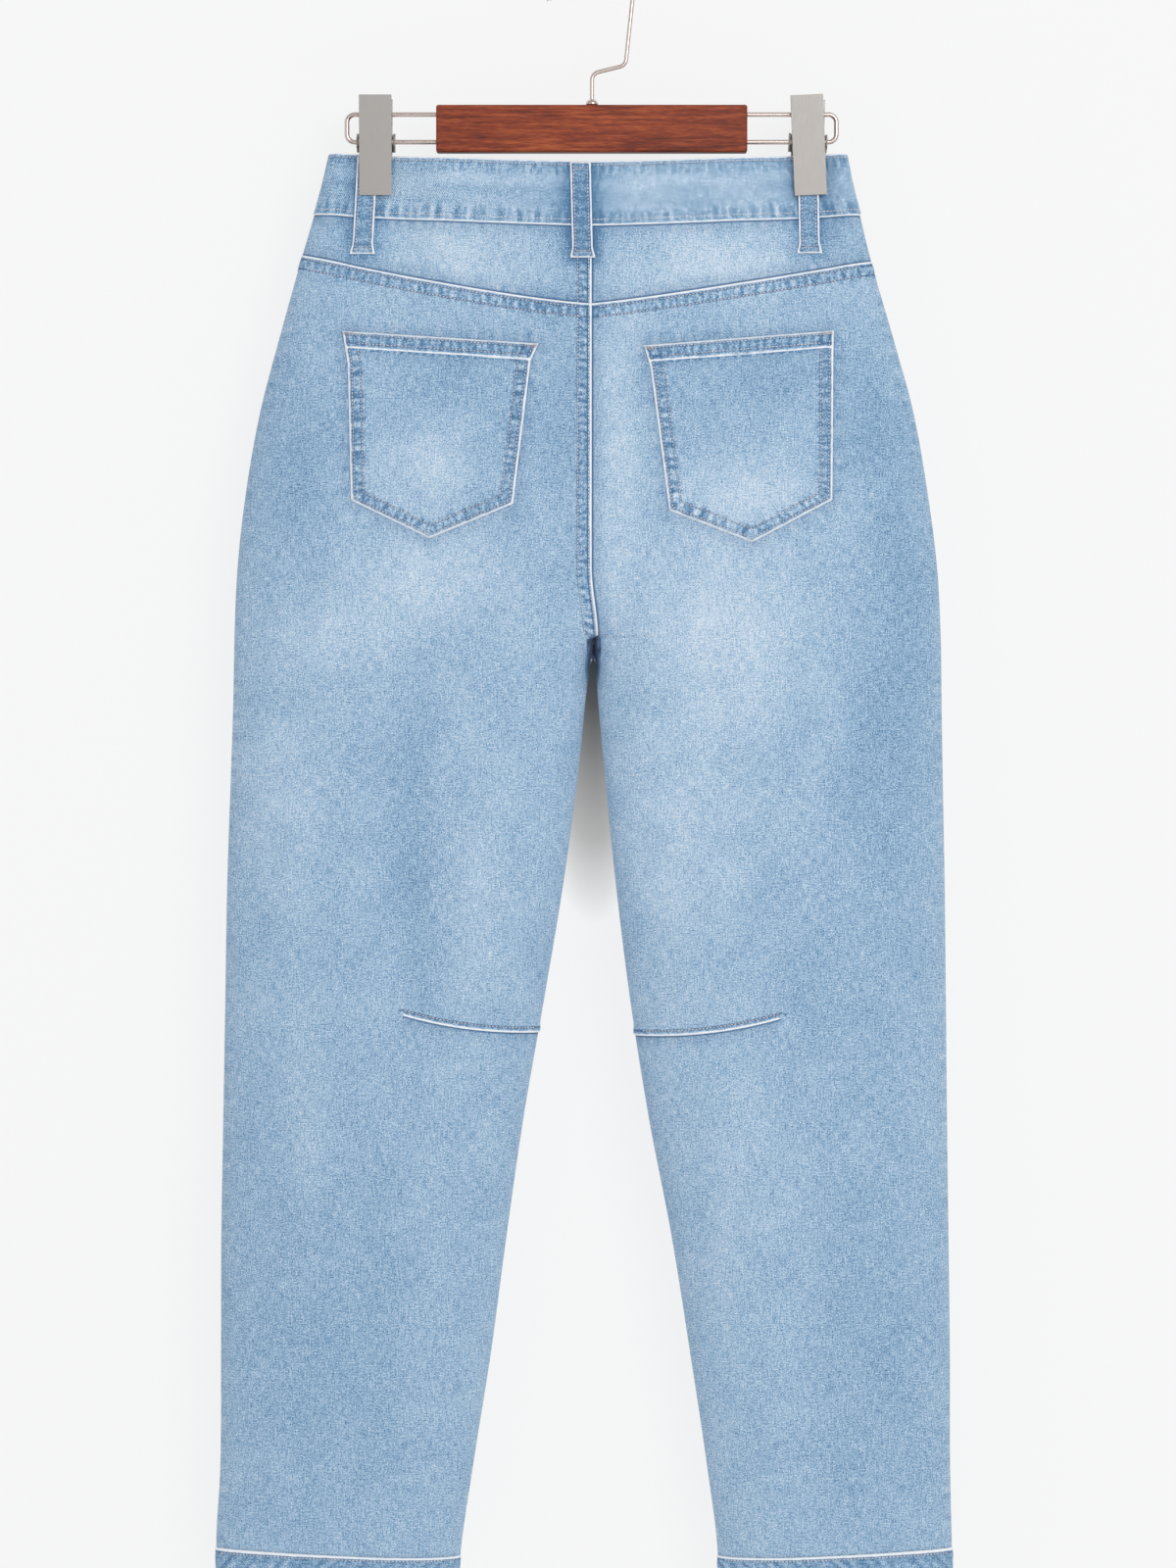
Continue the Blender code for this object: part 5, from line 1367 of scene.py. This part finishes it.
# %% Rows of stitches on the back
LAP_TOP = 0.62


def back_rows(side):
    lines = SEAMS[side]
    rows = []
    limit = 0.99 * abs(float(edge_out(side, -215)))
    for distance in (ROW_NEAR, ROW_FAR):
        row = lines["yoke"] - np.array([0.0, distance])
        out = side * row[:, 0]
        row = row[(out < limit) & (out > (3.0 if side > 0 else 1.0))]
        rows.append(on_surface(BACK, side, row, LAP_TOP))
    dart = beside(lines["dart"], DART_ROW * side)
    dart = dart[side * (dart[:, 0] - edge_in(side, dart[:, 1])) > 1.5]
    rows.append(on_surface(BACK, side, dart, 0.9))
    for top, down in zip(POCKET_ROWS_TOP, POCKET_ROWS_DOWN):
        ring = inset(lines["pocket"], (top,) + (down,) * 6)
        rows.append(on_surface(BACK, side, ring[:2], POCKET_LIFT + 0.3))
        rows.append(on_surface(BACK, side, ring[1:], POCKET_LIFT - 0.1))
    for name, inwards in (("top_outer", -side), ("top_inner", side)):
        x, z = POCKETS[side][name]
        start, end = (x + inwards * 0.8, z - 1.9), (x + inwards * 9.0, z - 2.3)
        rows += bar_tack(BACK, side, start, end, POCKET_LIFT + 0.85)
    return rows


def centre_rows(face, high, low, count):
    z = np.linspace(high, low, count)
    return [on_surface(face, LEFT, line_of(centre_seam(z) - distance, z), LAP_TOP)
            for distance in (ROW_NEAR - 0.6, ROW_FAR)]


back_sewing = [row for side in (LEFT, RIGHT) for row in back_rows(side)]
back_sewing += centre_rows(BACK, -187.5, CROTCH + 3.0, 120)
sewing("sewing_back", back_sewing, "denim")

# %% Rows of stitches on the front, the hems, the loops and the waistband
front_sewing = []
for side in (LEFT, RIGHT):
    for distance in (ROW_NEAR - 0.3, ROW_FAR - 1.5):
        bow = [scoop_point(side, 1.0 + distance / SCOOP_DROP, a)
               for a in np.linspace(0.0, math.pi / 2, 40)]
        bow = [(x, z) for x, z in bow if side * (float(edge_out(side, z)) - x) > 1.0
               and z < float(waist_seam(x)) - 0.5]
        front_sewing.append(on_surface(FRONT, side, bow, LAP_TOP))
front_sewing += [on_surface(FRONT, LEFT, fly_line(d), 0.15) for d in FLY_ROWS]
front_sewing += centre_rows(FRONT, FLY_FOOT - 2.0, CROTCH + 3.0, 80)
front_sewing += bar_tack(FRONT, LEFT, (-2.0, FLY_FOOT + 2), (-9.0, FLY_FOOT + 3), 1.0)
sewing("sewing_front", front_sewing, "denim")

hem_sewing = []
for side in (LEFT, RIGHT):
    for face in (BACK, FRONT):
        x = np.linspace(float(edge_out(side, HEM_TOP)), float(edge_in(side, HEM_TOP)), 160)[4:-4]
        line = line_of(x, HEM_TOP - HEM_ROW + hem_bend(side, x) * (16.5 / 19.5))
        hem_sewing.append(on_surface(face, side, line, HEM_PROUD - 0.08))
sewing("sewing_hems", hem_sewing, "denim")

loop_sewing = []
for loop in LOOPS:
    rows = [(np.linspace(0.03, 0.97, 60), across, -0.05, STITCH_PITCH) for across in (-0.33, 0.33)]
    rows += [(end, np.linspace(-0.36, 0.36, 12), 0.1, TACK_PITCH) for end in (0.055, 0.075, 0.925, 0.945)]
    for share, across, over, pitch in rows:
        share, across = np.broadcast_arrays(share, across)
        spots, normals, lift, _, _ = loop_frame(loop, share, across)
        loop_sewing.append((spots + normals * (lift + LOOP_THICKNESS + over)[:, None], pitch))
sewing("sewing_loops", loop_sewing, "denim_pocket")

band_sewing = []
for height in (BAND_DEPTH - BAND_ROW_TOP, BAND_ROW_FOOT):
    path = on_waistband(1.0 - height / BAND_DEPTH, np.linspace(0.008, 0.992, 700))
    band_sewing.append((path[0] + path[1] * (WAIST_PROUD - 0.05), STITCH_PITCH))
sewing("sewing_waistband", band_sewing, "denim_band")
# %% [markdown]
# ## The hanger
# The bar is stained hardwood with its grain along it and a small chamfer all round. The wires
# are nickel-plated steel, bent and smooth. The clips are pressed sheet, so the solids' own
# shapes are kept, their flat faces cleaned up and their edges eased with a bevel.

# %% Wood
WOOD, tree, shader = new_material(
    "stained hardwood, satin", Roughness=0.55, Specular_IOR_Level=0.3, Coat_Weight=0.06,
    Coat_Roughness=0.3,
)
place = node(tree, "ShaderNodeTexCoord").outputs["Object"]
grain = noise(tree, place, (26.0, 420.0, 420.0), 5.0, 0.62, 0.25)
pores = noise(tree, place, (150.0, 1500.0, 1500.0), 2.0, 0.6)
wide = noise(tree, place, (14.0, 60.0, 60.0))
tone = summed(tree, -0.32, (grain, 0.75), (pores, 0.45), (wide, 0.45))
tint(tree, shader, tone, ((0.28, "#3f1306"), (0.5, "#7c2f14"), (0.74, "#ad562b")))
bump(tree, shader, pores, 0.25, 0.2)


# %% Nickel
def nickel(name, shade, roughness, brushed):
    finish, tree, shader = new_material(name, Base_Color=linear(shade), Metallic=1.0)
    marks = noise(tree, node(tree, "ShaderNodeTexCoord").outputs["Object"], brushed, 3.0)
    limits = {"From Min": 0.3, "From Max": 0.7, "To Min": roughness - 0.05, "To Max": roughness + 0.07}
    worn = node(tree, "ShaderNodeMapRange", {"Value": marks}, limits)
    tree.links.new(worn.outputs["Result"], shader.inputs["Roughness"])
    bump(tree, shader, marks, 0.08, 0.05)
    return finish


CLIP_NICKEL = nickel("brushed nickel sheet", "#a6a29e", 0.46, (2200.0, 900.0, 60.0))
WIRE_NICKEL = nickel("nickel wire", "#cdbfb8", 0.24, (300.0, 300.0, 300.0))
BUTTON_NICKEL = nickel("cast nickel button", "#b9b2a9", 0.35, (500.0, 500.0, 500.0))

# %% Bar
BAR_HALF_LENGTH, BAR_TOP, BAR_BOTTOM, BAR_THICKNESS, BAR_CHAMFER = 109.4, -104.5, -137.6, 15.0, 1.3
bm = bmesh.new()
bmesh.ops.create_cube(bm, size=1.0)
bar_size = (2 * BAR_HALF_LENGTH * MM, BAR_THICKNESS * MM, (BAR_TOP - BAR_BOTTOM) * MM)
bmesh.ops.scale(bm, vec=bar_size, verts=bm.verts)
bmesh.ops.translate(bm, vec=(0.0, 0.0, (BAR_TOP + BAR_BOTTOM) / 2 * MM), verts=bm.verts)
bmesh.ops.bevel(
    bm, geom=bm.edges[:], offset=BAR_CHAMFER * MM, offset_type="OFFSET", segments=2, profile=0.4,
    affect="EDGES", clamp_overlap=True, material=-1,
)
placed(mesh_of("bar_wood", bm, WOOD), "wood", "hanger_bar")
print("bar", round(2 * BAR_HALF_LENGTH), "mm long")
# %% Clips, from the solids' own shapes
for side in (LEFT, RIGHT):
    for jaw in ("back", "front"):
        name = f"clip_{SIDE_NAMES[side]}_{jaw}_jaw"
        bm = bmesh.new()
        bm.from_mesh(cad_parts[name].data)
        bmesh.ops.remove_doubles(bm, verts=bm.verts, dist=0.002 * MM)
        bmesh.ops.dissolve_limit(bm, angle_limit=math.radians(1.0), verts=bm.verts, edges=bm.edges)
        for face in bm.faces:
            face.smooth = False
        piece = placed(mesh_of(name + "_metal", bm, CLIP_NICKEL), "clip_metal", name)
        eased = piece.modifiers.new("eased edges", "BEVEL")
        eased.width = 0.22 * MM
        eased.segments = 2
        eased.limit_method = "ANGLE"
        eased.angle_limit = math.radians(40)
        eased.harden_normals = False
print("clips: two jaws each, edges eased")


# %% Wires and springs
def arc(centre, radius, start, end, steps):
    angles = np.radians(np.linspace(start, end, steps + 1))
    return [(centre[0] + radius * math.cos(a), 0.0, centre[1] + radius * math.sin(a)) for a in angles]


def wire(name, route, radius, finish, slot, solid, resolution=4):
    data = rods(name, radius, resolution, finish)
    rod(data, route)
    placed(linked(name, data), slot, solid)


RAIL_RADIUS, RAIL_UPPER, RAIL_LOWER, RAIL_END = 1.7, -110.7, -130.1, 172.3
RAIL_CORNER, RAIL_DEPTH = 5.5, 14.0
for side in (LEFT, RIGHT):
    start_x, corner_x = side * (BAR_HALF_LENGTH - RAIL_DEPTH), RAIL_END - RAIL_CORNER
    bend = arc((corner_x, RAIL_UPPER - RAIL_CORNER), RAIL_CORNER, 90, 0, 12)
    bend += arc((corner_x, RAIL_LOWER + RAIL_CORNER), RAIL_CORNER, 0, -90, 12)
    route = [(start_x, 0.0, RAIL_UPPER)] + [(side * x, y, z) for x, y, z in bend]
    route += [(start_x, 0.0, RAIL_LOWER)]
    name = f"rail_{SIDE_NAMES[side]}"
    wire(name + "_wire", route, RAIL_RADIUS, WIRE_NICKEL, "wire", name)

HOOK_RADIUS, HOOK_SHANK_X, HOOK_CENTRE_X, HOOK_ARCH, HOOK_LEAN = 1.5, 0.2, -0.8, 29.5, 6.0
HOOK_END_ANGLE, HOOK_BEND, HOOK_STEP_LOW, HOOK_STEP_HIGH = 185.0, 6.0, -80.5, -77.2
centre_z = HOOK_RADIUS - HOOK_ARCH
lean = math.radians(HOOK_LEAN)
arch_x = HOOK_CENTRE_X + HOOK_ARCH * math.cos(lean)
arch_z = centre_z - HOOK_ARCH * math.sin(lean)
foot_z = HOOK_STEP_HIGH + HOOK_BEND
foot_x = arch_x - (arch_z - foot_z) * math.tan(lean)
route = [(HOOK_SHANK_X, 0.0, BAR_TOP - 6.0)]
route += arc((HOOK_SHANK_X + HOOK_BEND, HOOK_STEP_LOW - HOOK_BEND), HOOK_BEND, 180, 100, 12)
route += arc((foot_x - HOOK_BEND, foot_z), HOOK_BEND, -80, -HOOK_LEAN, 12)
route += arc((HOOK_CENTRE_X, centre_z), HOOK_ARCH, -HOOK_LEAN, HOOK_END_ANGLE, 72)
wire("hook_wire", route, HOOK_RADIUS, WIRE_NICKEL, "wire", "hook")
print("hook arch", 2 * HOOK_ARCH - 2 * HOOK_RADIUS, "mm inside")

SPRING_RADIUS, SPRING_WIRE, SPRING_COILS = 3.1, 0.58, 8
for side in (LEFT, RIGHT):
    turns = np.linspace(0.0, math.tau * SPRING_COILS, 16 * SPRING_COILS + 1)
    half = SPRING_COILS * SPRING_WIRE
    route = [
        (CLIP_X[side] - half + 2 * half * t / turns[-1],
         SPRING_RADIUS * math.cos(t), RAIL_LOWER + SPRING_RADIUS * math.sin(t)) for t in turns
    ]
    name = f"clip_{SIDE_NAMES[side]}_spring"
    wire(name + "_coil", route, SPRING_WIRE, CLIP_NICKEL, "clip_metal", name, resolution=2)


# %% Turned ferrule and button
def turned(name, profile, finish, slot, solid, place):
    """Spin a profile of (radius, height) round its axis and put it in place."""
    bm = bmesh.new()
    verts = [bm.verts.new((radius * MM, 0.0, height * MM)) for radius, height in profile]
    edges = [bm.edges.new(pair) for pair in zip(verts, verts[1:])]
    bmesh.ops.spin(
        bm, geom=verts + edges, axis=(0, 0, 1), cent=(0, 0, 0), angle=math.tau, steps=40,
        use_merge=True,
    )
    bmesh.ops.remove_doubles(bm, verts=bm.verts, dist=0.001 * MM)
    bmesh.ops.recalc_face_normals(bm, faces=bm.faces)
    bmesh.ops.transform(bm, matrix=place, verts=bm.verts)
    for face in bm.faces:
        face.smooth = True
    placed(mesh_of(name, bm, finish), slot, solid)


dome = [(4.3, 0.25), (4.3, 1.4)]
dome += [(4.3 * math.cos(a), 1.4 + 3.2 * math.sin(a)) for a in np.linspace(0.1, 1.2, 10)]
turned("ferrule_nickel", [(0.0, 0.25)] + dome + [(0.0, dome[-1][1])], WIRE_NICKEL, "wire",
       "hook_ferrule", Matrix.Translation((HOOK_SHANK_X * MM, 0.0, BAR_TOP * MM)))

BUTTON_X, BUTTON_Z, BUTTON_RADIUS, BUTTON_HEIGHT = 3.0, -166.0, 8.5, 3.2
seat = float(half_depth(FRONT, RIGHT, BUTTON_X, BUTTON_Z)) + WAIST_PROUD + 0.3
rim = [(BUTTON_RADIUS - 0.9 + 0.9 * math.sin(a), 2.0 - 0.9 * math.cos(a))
       for a in np.linspace(0.0, 2.6, 10)]
button_profile = [(0.0, 0.0), (3.5, 0.0), (3.5, 1.1)] + rim
button_profile += [(6.6, 2.55), (5.8, 2.35), (4.4, 2.7), (2.4, 3.1), (0.0, BUTTON_HEIGHT)]
upright = Matrix.Rotation(-math.pi / 2, 4, "X")
turned("button_nickel", button_profile, BUTTON_NICKEL, "button_metal", "waist_button",
       Matrix.Translation((BUTTON_X * MM, seat * MM, BUTTON_Z * MM)) @ upright)
print("button", 2 * BUTTON_RADIUS, "mm across")
# %% [markdown]
# ## How the cloth was cut
# Each piece of cloth is listed with its flat size, width and length in metres along the cloth,
# and with its area where the cut isn't a rectangle. Turned-in seam allowances aren't counted, and
# a doubled strip counts once, because only its outer layer shows.

# %% Sheets
CUTS = (
    ("back_panel_left_cloth", 0.285, 0.905, 0.2130, ("waistband", "back_yoke_left")),
    ("back_panel_right_cloth", 0.285, 0.905, 0.2070, ("waistband", "back_yoke_right")),
    ("front_panel_left_cloth", 0.285, 0.950, 0.2140, ("waistband",)),
    ("front_panel_right_cloth", 0.285, 0.950, 0.2090, ("waistband",)),
    ("back_yoke_left_cloth", 0.222, 0.062, 0.0092, ("waistband",)),
    ("back_yoke_right_cloth", 0.222, 0.062, 0.0091, ("waistband",)),
    ("back_pocket_left_cloth", 0.138, 0.146, 0.0165, ("back_panel_left",)),
    ("back_pocket_right_cloth", 0.134, 0.149, 0.0165, ("back_panel_right",)),
    ("front_pocket_facing_left_cloth", 0.088, 0.080, 0.0053, ("waistband", "front_panel_left")),
    ("front_pocket_facing_right_cloth", 0.088, 0.080, 0.0053, ("waistband", "front_panel_right")),
    ("hem_left_cloth", 0.425, 0.0195, None, ("back_panel_left", "front_panel_left")),
    ("hem_right_cloth", 0.412, 0.0195, None, ("back_panel_right", "front_panel_right")),
    ("waistband_cloth", 0.820, 0.046, None, ("clip_left_front_jaw", "clip_right_front_jaw")),
)
CUTS += tuple((loop[0] + "_cloth", 0.0145, 0.068, None, ("waistband",)) for loop in LOOPS)
for name, width, length, area, holders in CUTS:
    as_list(holders)
print("sheets declared:", len(CUTS))
# %% [markdown]
# ## Wall, light and camera
# The jeans hang a hand's width in front of a white wall, lit by one large soft light from the
# upper right and a pale room. The wall shows from the front only, so that it never hides the
# jeans from behind, and the camera looks straight on with a long lens, as in the picture.

# %% Wall and floor
def stage_plane(name, centre, size, turn, finish):
    bm = bmesh.new()
    bmesh.ops.create_grid(bm, x_segments=1, y_segments=1, size=0.5)
    spread = Matrix.Diagonal((*size, 1.0, 1.0))
    bmesh.ops.transform(bm, matrix=Matrix.Translation(centre) @ turn @ spread, verts=bm.verts)
    plane = mesh_of(name, bm, finish)
    return plane


# Painted shadow: the deep shade between the legs is painted into the wall's even glow as a soft dark spot,
# seen only through their gap
SHADE_X, SHADE_Z, SHADE_HALF_WIDTH, SHADE_DEPTH = 1.5, -478.0, 60.0, 240.0
SHADE_TONES = (
    (0.06, "#0c0c0c"), (0.2, "#4b4947"), (0.33, "#7b7977"), (0.6, "#bab9b7"), (0.85, "#ffffff"),
)
WALL, tree, shader = new_material(
    "white wall, seen from the front", Base_Color=linear("#595959"), Emission_Strength=0.81,
    Roughness=0.9,
)
place = node(tree, "ShaderNodeTexCoord").outputs["Object"]
spot = node(tree, "ShaderNodeMapping", {"Vector": place}, {
    "Location": (-SHADE_X / SHADE_HALF_WIDTH, 0.0, -SHADE_Z / SHADE_DEPTH),
    "Scale": (1.0 / (SHADE_HALF_WIDTH * MM), 0.0, 1.0 / (SHADE_DEPTH * MM)),
})
away = node(tree, "ShaderNodeVectorMath", {0: spot.outputs["Vector"]}, operation="LENGTH")
tint(tree, shader, away.outputs["Value"], SHADE_TONES, "Emission Color")
clear = node(tree, "ShaderNodeBsdfTransparent")
facing = node(tree, "ShaderNodeNewGeometry")
mix = node(tree, "ShaderNodeMixShader",
           {0: facing.outputs["Backfacing"], 1: shader.outputs[0], 2: clear.outputs[0]})
tree.links.new(mix.outputs[0], tree.nodes["Material Output"].inputs[0])
WALL_Y = 0.055
wall = stage_plane("wall", (0.0, WALL_Y, -0.5), (3.4, 3.0), Matrix.Rotation(math.pi / 2, 4, "X"), WALL)
wall.visible_shadow = False
FLOOR = new_material("pale floor", Base_Color=linear("#efefee"), Roughness=0.8)[0]
stage_plane("floor", (0.0, 0.0, -1.5), (9.0, 9.0), Matrix.Identity(4), FLOOR)
print("wall stands at", WALL_Y)

# %% Lights and camera
LAMPS = (
    ("key", (1.1, -2.9, 0.6), -0.55, 1.8, 48.0, "#ffffff"),
    ("fill", (-2.4, -2.4, -0.2), -0.6, 2.2, 11.0, "#eaf1ff"),
    ("back", (-1.4, 2.8, 0.9), -0.55, 1.4, 12.0, "#ffffff"),
    ("back fill", (2.2, 2.4, -0.2), -0.6, 2.2, 7.0, "#ffffff"),
)
for name, place, target_z, size, power, shade in LAMPS:
    data = bpy.data.lights.new(name, "AREA")
    data.shape = "SQUARE"
    data.size = size
    data.energy = power
    data.color = linear(shade)[:3]
    lamp = linked(name, data)
    lamp.location = place
    aim = Vector((0.0, 0.0, target_z)) - Vector(place)
    lamp.rotation_euler = aim.to_track_quat("-Z", "Y").to_euler()

world = bpy.data.worlds.new("pale room")
bpy.context.scene.world = world
world.use_nodes = True
background = world.node_tree.nodes["Background"]
background.inputs["Color"].default_value = linear("#f5f5f6")
background.inputs["Strength"].default_value = 0.6
bpy.context.scene.view_settings.view_transform = "Standard"

PIXEL_MM, CENTRE_X, CENTRE_Z, DISTANCE = 0.69, -2.6, -582.0, 4.0
lens = bpy.data.cameras.new("camera")
lens.sensor_width = 36.0
lens.lens = 36.0 * DISTANCE / (1600 * PIXEL_MM * MM)
camera = linked("camera", lens)
camera.location = (CENTRE_X * MM, -DISTANCE, CENTRE_Z * MM)
camera.rotation_euler = (math.pi / 2, 0.0, 0.0)
bpy.context.scene.camera = camera
print("lens", round(lens.lens, 1), "mm")
